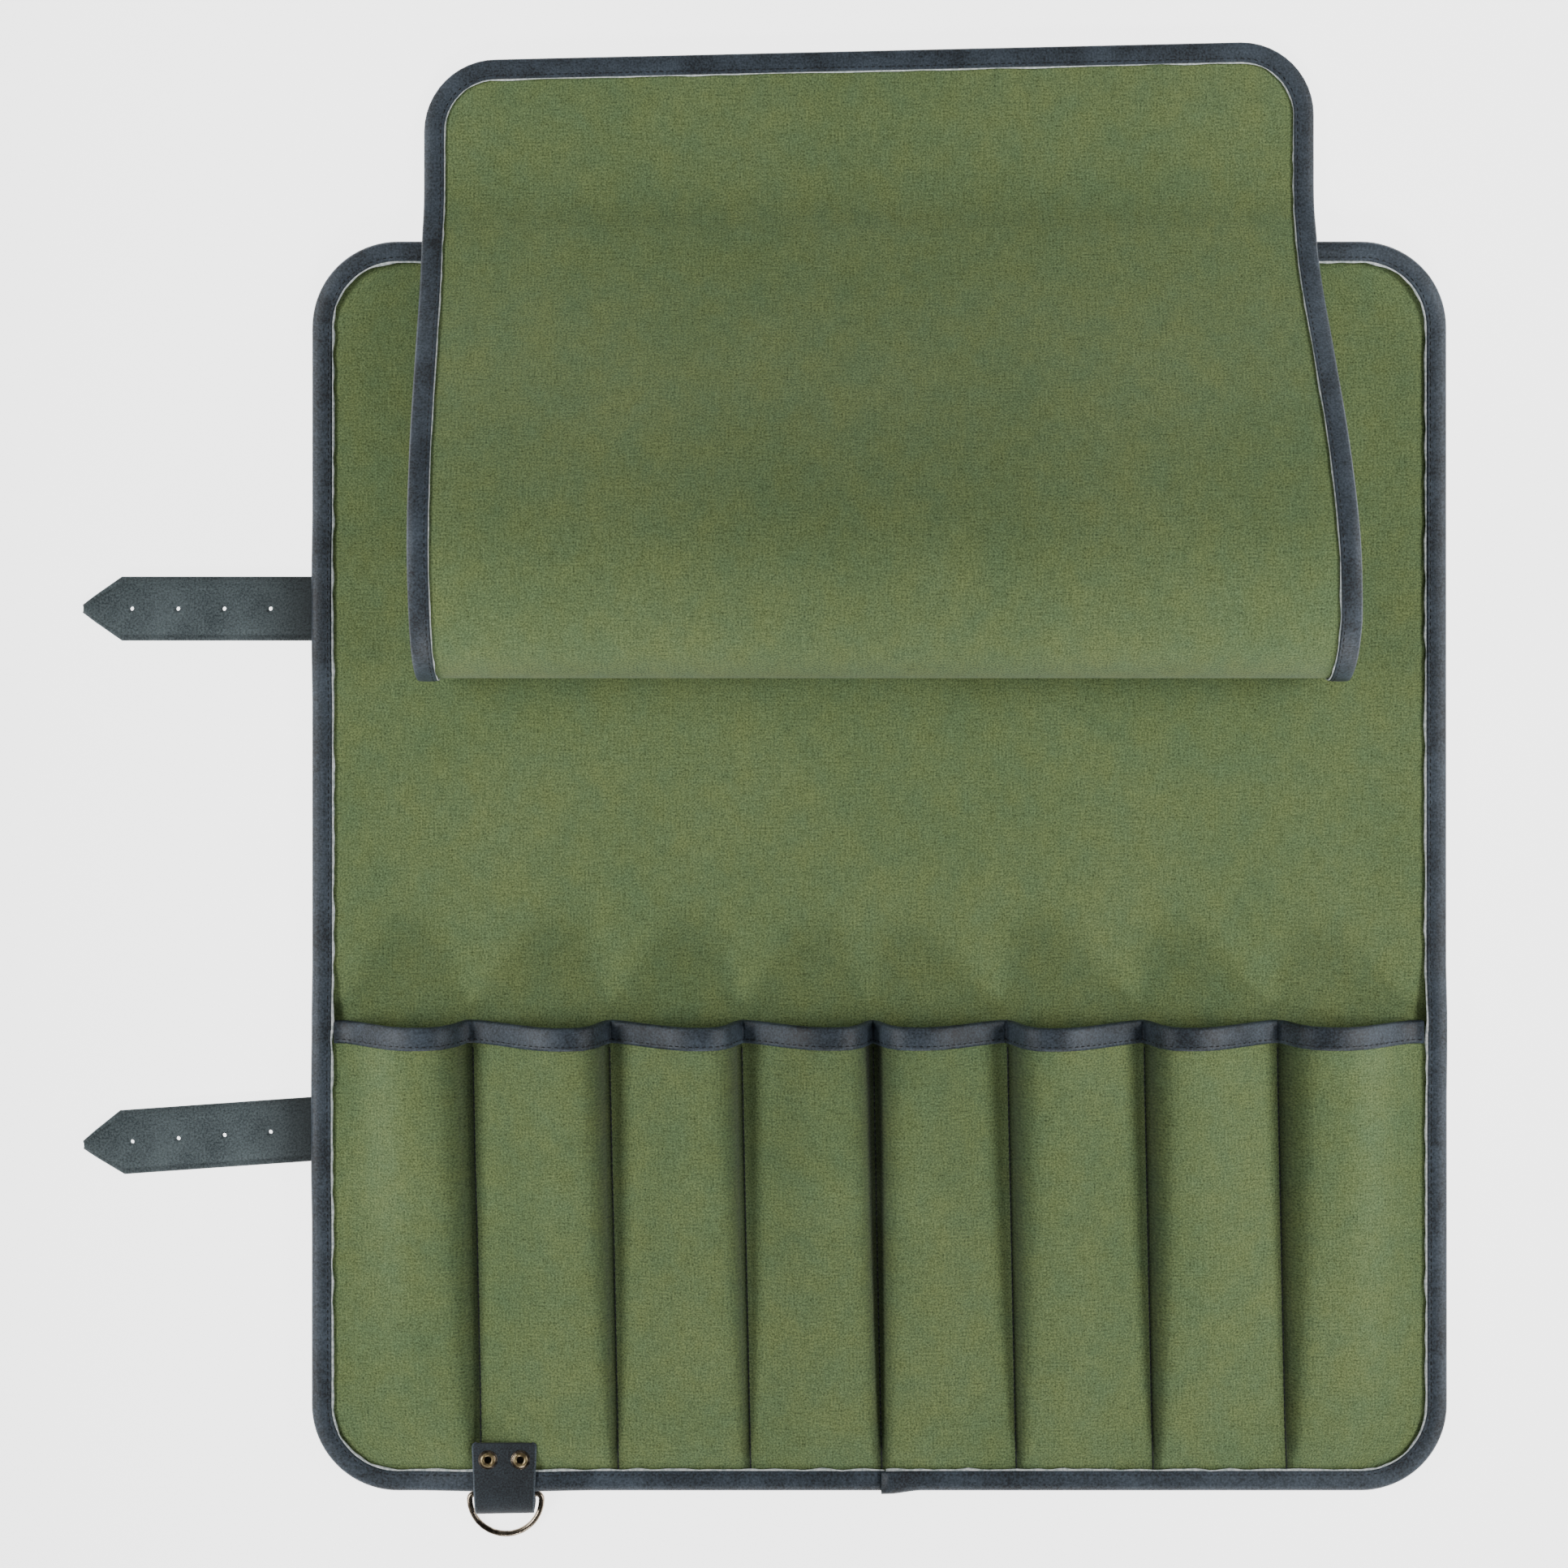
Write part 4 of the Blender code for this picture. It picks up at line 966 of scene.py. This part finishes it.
def suede_material(name, dark, light, edge_from, edge_tone, shade_from, shade_to, shade_tone):
    """Short-napped suede: mottled, with a fine nap. Its map gives metres along and across the
    piece, for a tone beyond edge_from across, and a shade from shade_from to shade_to along."""
    material, tree, shader = new_material(name, light, 0.9)
    place = add_node(tree, "ShaderNodeUVMap", {"uv_map": "flat"}).outputs["UV"]

    nap = noise_tone(tree, place, 0.9 * MM, 2.0, 0.65)
    patch = noise_tone(tree, place, 24 * MM, 4.0, 0.65)
    mottled = two_tone(tree, sum_of(tree, nap, patch, 0.65, 0.35), 0.36, dark, 0.64, light)
    split = add_node(tree, "ShaderNodeSeparateXYZ", _0=place)
    across = add_node(tree, "ShaderNodeMath", {"operation": "ABSOLUTE"}, _0=split.outputs[1])
    edge = add_node(tree, "ShaderNodeMapRange", {"From Min": edge_from, "From Max": edge_from + 0.5 * MM,
                                                 "To Min": 1.0, "To Max": edge_tone},
                    Value=across.outputs[0]).outputs[0]
    shade = add_node(tree, "ShaderNodeMapRange", {"From Min": shade_from, "From Max": shade_to,
                                                  "To Min": 1.0, "To Max": shade_tone},
                     Value=split.outputs[0]).outputs[0]
    tone = add_node(tree, "ShaderNodeMath", {"operation": "MULTIPLY"}, _0=edge, _1=shade).outputs[0]
    tinted = add_node(tree, "ShaderNodeVectorMath", {"operation": "SCALE"},
                      _0=mottled, Scale=tone).outputs[0]
    tree.links.new(tinted, shader.inputs["Base Color"])
    add_bump(tree, shader, nap, 0.5, 0.2 * MM)
    shader.inputs["Sheen Weight"].default_value = 0.2
    return material


# The straps' colour darkens from 70 mm to 98 mm from the tip, just short of the panel's edge, and stays
# dark beyond.
strap_suede = suede_material("slate_suede", "2E383C", "6A7679", STRAP_WIDTH / 2 - STRAP_CREASE, 0.8,
                             0.070, 0.098, 0.35)


def strap_half(reach):
    """Half the strap's width this far from its tip."""
    corners = ((0.0, 1.1 * MM), (STRAP_POINT * 0.35, STRAP_WIDTH * 0.21), (STRAP_POINT, STRAP_WIDTH / 2))
    for (start, half), (end, next_half) in zip(corners, corners[1:]):
        if reach < end:
            return mix(half, next_half, (reach - start) / (end - start))
    return STRAP_WIDTH / 2


hole_places = [FIRST_HOLE + HOLE_PITCH * k for k in range(HOLES)]
strap_reaches = [0.0, 1.5 * MM, 3.5 * MM, STRAP_POINT * 0.35, 9 * MM, 13 * MM, STRAP_POINT]
for number, hole in enumerate(hole_places):
    strap_reaches += [hole + HOLE_RADIUS * k for k in (-2.5, -1, 0, 1, 2.5)]
    if number < HOLES - 1:
        strap_reaches += [hole + HOLE_PITCH * k / 5 for k in (1.25, 2, 3, 3.75)]
strap_reaches += spread(hole_places[-1] + 5 * MM, STRAP_FREE + 5 * MM, 3 * MM)
strap_reaches += spread(STRAP_FREE + 12 * MM, STRAP_FREE + STRAP_END - PANEL_LEFT, 12 * MM)
crease_share = 1 - STRAP_CREASE / (STRAP_WIDTH / 2)
hole_share = HOLE_RADIUS / (STRAP_WIDTH / 2)
one_side = [hole_share, hole_share * 2.5, 0.4, 0.6, crease_share - 0.05, crease_share,
            crease_share + 0.05, 0.96, 1.0]
strap_shares = [-share for share in reversed(one_side)] + [0.0] + one_side


def strap_place(name, i, j):
    """A point of a strap, with the holes' rims drawn to circles and the free end turned."""
    reach = strap_reaches[i]
    along, y = reach, strap_shares[j] * strap_half(reach)
    for hole in hole_places:
        away = math.hypot(along - hole, y)
        if 0 < away < HOLE_RADIUS * 1.5:
            along = hole + (along - hole) * HOLE_RADIUS / away
            y *= HOLE_RADIUS / away
    crease = 0.3 * MM if abs(abs(strap_shares[j]) - crease_share) < 0.01 else 0.0
    edge = 0.35 * MM * ease((abs(strap_shares[j]) - 0.94) / 0.06)
    x = along - STRAP_FREE
    turn = STRAP_TURN[name] if x < 0 else 0.0
    return (PANEL_LEFT + x * math.cos(turn) - y * math.sin(turn),
            STRAP_Y[name] + x * math.sin(turn) + y * math.cos(turn), STRAP / 2 - crease - edge)


for name in STRAP_Y:
    strap = cloth_sheet(name + "_leather", len(strap_reaches), len(strap_shares),
                        lambda i, j: strap_place(name, i, j),
                        lambda i, j: (strap_reaches[i], strap_shares[j] * strap_half(strap_reaches[i])),
                        STRAP * 0.96, strap_suede,
                        holes=[(strap_reaches.index(hole), len(one_side)) for hole in hole_places],
                        even=False)
    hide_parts(name)

# Buckles
# Plain cast frames between strap and panel, hidden while the roll lies open. The solids stay,
# in antique brass.


def metal_material(name, dark, light, roughness, grain):
    """Plated metal with a worn, uneven patina."""
    material, tree, shader = new_material(name, light, roughness, 1.0)
    place = add_node(tree, "ShaderNodeTexCoord").outputs["Object"]
    patina = noise_tone(tree, place, grain, 4.0, 0.6)
    tree.links.new(two_tone(tree, patina, 0.38, dark, 0.62, light), shader.inputs["Base Color"])
    painted_shade_and_wear = add_node(tree, "ShaderNodeMapRange", {"To Min": roughness + 0.12, "To Max": roughness - 0.08},
                    Value=patina).outputs[0]
    tree.links.new(painted_shade_and_wear, shader.inputs["Roughness"])
    return material


ring_metal = metal_material("darkened_nickel", "4A433B", "A89A88", 0.26, 5 * MM)
brass = metal_material("antique_brass", "7A6A4C", "C4B188", 0.36, 1.5 * MM)
for name in ("buckle_upper", "buckle_lower"):
    for number in range(len(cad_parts[name].data.materials)):
        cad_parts[name].data.materials[number] = brass

# Ring's tab
# A short piece of the same leather, folded round the ring's bar over the panel's bottom edge,
# with pale edges. Two eyelets hold its leaves together through the cloth.
TAB_FOLD_WIDTH = 25.4 * MM
TAB_LOOP = 9.4 * MM
TAB_ROUND = 1.6 * MM
TAB_SKEW = math.radians(-1.6)
RING_WIDTH = 34.0 * MM
RING_DEPTH = 20.5 * MM
RING_WIRE = 2.4 * MM
RING_DRAWN = 2.6 * MM
RING_AXIS_Y = -PANEL_TOP - 0.4 * MM - RING_WIRE / 2
RING_AXIS_Z = TAB + GAP + RING_WIRE / 2
EYELET_BORE = 1.55 * MM
EYELET_TUBE = 2.1 * MM
EYELET_RIM = 3.2 * MM
EYELET_WASHER = 4.2 * MM
EYELET_X = (TAB_X - 7.1 * MM, TAB_X + 7.1 * MM)
EYELET_Y = TAB_TOP - 7.2 * MM
# The tab's colour turns pale within 0.8 mm of its sides.
tab_suede = suede_material("dark_suede", "0B0E11", "363E45", TAB_WIDTH / 2 - 0.8 * MM, 3.4,
                           0.0, 0.1, 1.0)
tab_low = TAB / 2
tab_high = binding_seat(TAB_X, -PANEL_TOP) + LEATHER + GAP + TAB / 2
tab_reach = TAB_LOOP - TAB / 2 - RING_WIRE / 2
tab_line = [(mix(TAB_TOP, RING_AXIS_Y, k / 14), tab_high) for k in range(14)]
tab_line.insert(1, (TAB_TOP - TAB_ROUND * 0.35, tab_high))
tab_line.insert(2, (TAB_TOP - TAB_ROUND, tab_high))
for k in range(17):
    angle = math.radians(90 - 180 * k / 16)
    tab_line.append((RING_AXIS_Y - tab_reach * math.cos(angle),
                     mix(tab_low, tab_high, (1 + math.sin(angle)) / 2)))
tab_line += [(mix(RING_AXIS_Y, TAB_TOP, k / 4), tab_low) for k in range(1, 5)]
tab_shares = [-1.0, -0.95, -0.8, -0.6, -0.4, -0.2, 0.0, 0.2, 0.4, 0.6, 0.8, 0.95, 1.0]


def tab_place(i, j):
    y, z = tab_line[j]
    share = tab_shares[i]
    taper = (TAB_TOP - y) / (TAB_TOP - RING_AXIS_Y + tab_reach)
    half = mix(TAB_WIDTH, TAB_FOLD_WIDTH, taper) / 2
    past = max(0.0, 1 - (TAB_TOP - y) / TAB_ROUND)
    half -= TAB_ROUND * (1 - math.sqrt(max(0.0, 1 - past * past)))
    edge = 0.4 * MM * ease((abs(share) - 0.93) / 0.07) if z > tab_low + GAP else 0.0
    x = half * share
    upper = (z - tab_low) / (tab_high - tab_low)
    return (TAB_X + x, y + math.tan(TAB_SKEW) * -x * upper * taper, z - edge)


tab = cloth_sheet("ring_tab_leather", len(tab_shares), len(tab_line), tab_place,
                  lambda i, j: (j * 2 * MM, tab_shares[i] * TAB_WIDTH / 2), TAB, tab_suede)
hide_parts("ring_tab")

# Eyelets
# Each is a turned tube with a rolled brass rim, set in a thin dark washer pressed into the tab.
EYELET_STEPS = 40


def drill(pieces, radius):
    """Cuts the eyelets' holes through each piece."""
    shape = bmesh.new()
    for x in EYELET_X:
        bmesh.ops.create_cone(shape, cap_ends=True, segments=24, radius1=radius, radius2=radius,
                              depth=60 * MM, matrix=Matrix.Translation((x, EYELET_Y, 0.0)))
    mesh = bpy.data.meshes.new("drill")
    shape.to_mesh(mesh)
    shape.free()
    cutter = bpy.data.objects.new("drill", mesh)
    bpy.context.scene.collection.objects.link(cutter)
    for piece in pieces:
        cut = piece.modifiers.new("eyelet_hole", "BOOLEAN")
        cut.operation = "DIFFERENCE"
        cut.solver = "EXACT"
        cut.object = cutter
    graph = bpy.context.evaluated_depsgraph_get()
    for piece in pieces:
        cut_mesh = bpy.data.meshes.new_from_object(piece.evaluated_get(graph), depsgraph=graph)
        piece.modifiers.clear()
        piece.data = cut_mesh
    bpy.data.objects.remove(cutter)


drill((panel_cloth, pocket_cloth, tab), EYELET_TUBE + GAP)


def turned(name, profile, centre, materials, dark_from):
    """A closed profile of (radius, height) turned round an upright axis. The profile's sides from
    number dark_from on take the second material."""
    shape = bmesh.new()
    rings = []
    for k in range(EYELET_STEPS):
        angle = 2 * math.pi * k / EYELET_STEPS
        rings.append([shape.verts.new((centre[0] + r * math.cos(angle), centre[1] + r * math.sin(angle), h))
                      for r, h in profile])
    for ring, following in zip(rings, rings[1:] + rings[:1]):
        for k in range(len(profile)):
            after = (k + 1) % len(profile)
            side = shape.faces.new((ring[k], following[k], following[after], ring[after]))
            side.smooth = True
            side.material_index = 1 if k >= dark_from else 0
    bmesh.ops.recalc_face_normals(shape, faces=shape.faces)
    return new_piece(name, shape, materials, "roll")


eyelet_seat = tab_high + TAB / 2
rim_mid, rim_half = (EYELET_BORE + EYELET_RIM) / 2, (EYELET_RIM - EYELET_BORE) / 2
rim = [(rim_mid + rim_half * math.cos(math.radians(a)),
        eyelet_seat + 0.35 * MM + 0.62 * MM * math.sin(math.radians(a))) for a in range(-10, 191, 20)]
eyelet_profile = rim + [(EYELET_BORE, GAP), (EYELET_TUBE, GAP), (EYELET_TUBE, eyelet_seat - 0.1 * MM),
                        (EYELET_WASHER - 0.2 * MM, eyelet_seat - 0.1 * MM),
                        (EYELET_WASHER, eyelet_seat + 0.1 * MM),
                        (EYELET_WASHER - 0.3 * MM, eyelet_seat + 0.25 * MM),
                        (EYELET_RIM + 0.4 * MM, eyelet_seat + 0.1 * MM)]
for side, x in zip(("left", "right"), EYELET_X):
    eyelet = turned("eyelet_%s_rolled" % side, eyelet_profile, (x, EYELET_Y), (brass, ring_metal),
                    len(rim))
    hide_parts("eyelet_" + side)

# D-ring
# Round wire bent to a D and brazed shut, plated and gone dark. It hangs by its straight bar in
# the tab's fold, with its bow on the table, and swings with its own body.
ring_half = (RING_WIDTH - RING_WIRE) / 2
ring_turn = RING_DEPTH - RING_WIRE - ring_half
ring_drop = math.asin((RING_AXIS_Z - RING_WIRE / 2) / (RING_DEPTH - RING_WIRE))
corner = [(ring_half - ring_turn + ring_turn * math.sin(math.radians(a)),
           -ring_turn + ring_turn * math.cos(math.radians(a))) for a in range(0, 90, 15)]
bow = [(ring_half * math.cos(math.radians(a)), -ring_turn + ring_half * math.sin(math.radians(a)))
       for a in range(0, -91, -5)]
right_side = corner + bow
ring_path = right_side + [(-x, y) for x, y in reversed(right_side[:-1])]
ring_curve = bpy.data.curves.new("d_ring_wire", "CURVE")
ring_curve.dimensions = "3D"
ring_curve.bevel_depth = RING_DRAWN / 2
ring_curve.bevel_resolution = 6
ring_spline = ring_curve.splines.new("POLY")
ring_spline.points.add(len(ring_path) - 1)
for point, (x, y) in zip(ring_spline.points, ring_path):
    point.co = (TAB_X + x, RING_AXIS_Y + y * math.cos(ring_drop),
                RING_AXIS_Z + y * math.sin(ring_drop), 1.0)
ring_spline.use_cyclic_u = True
ring_spline.use_smooth = True
ring_curve.materials.append(ring_metal)
ring = bpy.data.objects.new("d_ring_wire", ring_curve)
bpy.context.scene.collection.objects.link(ring)
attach(ring, "ring")
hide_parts("d_ring")
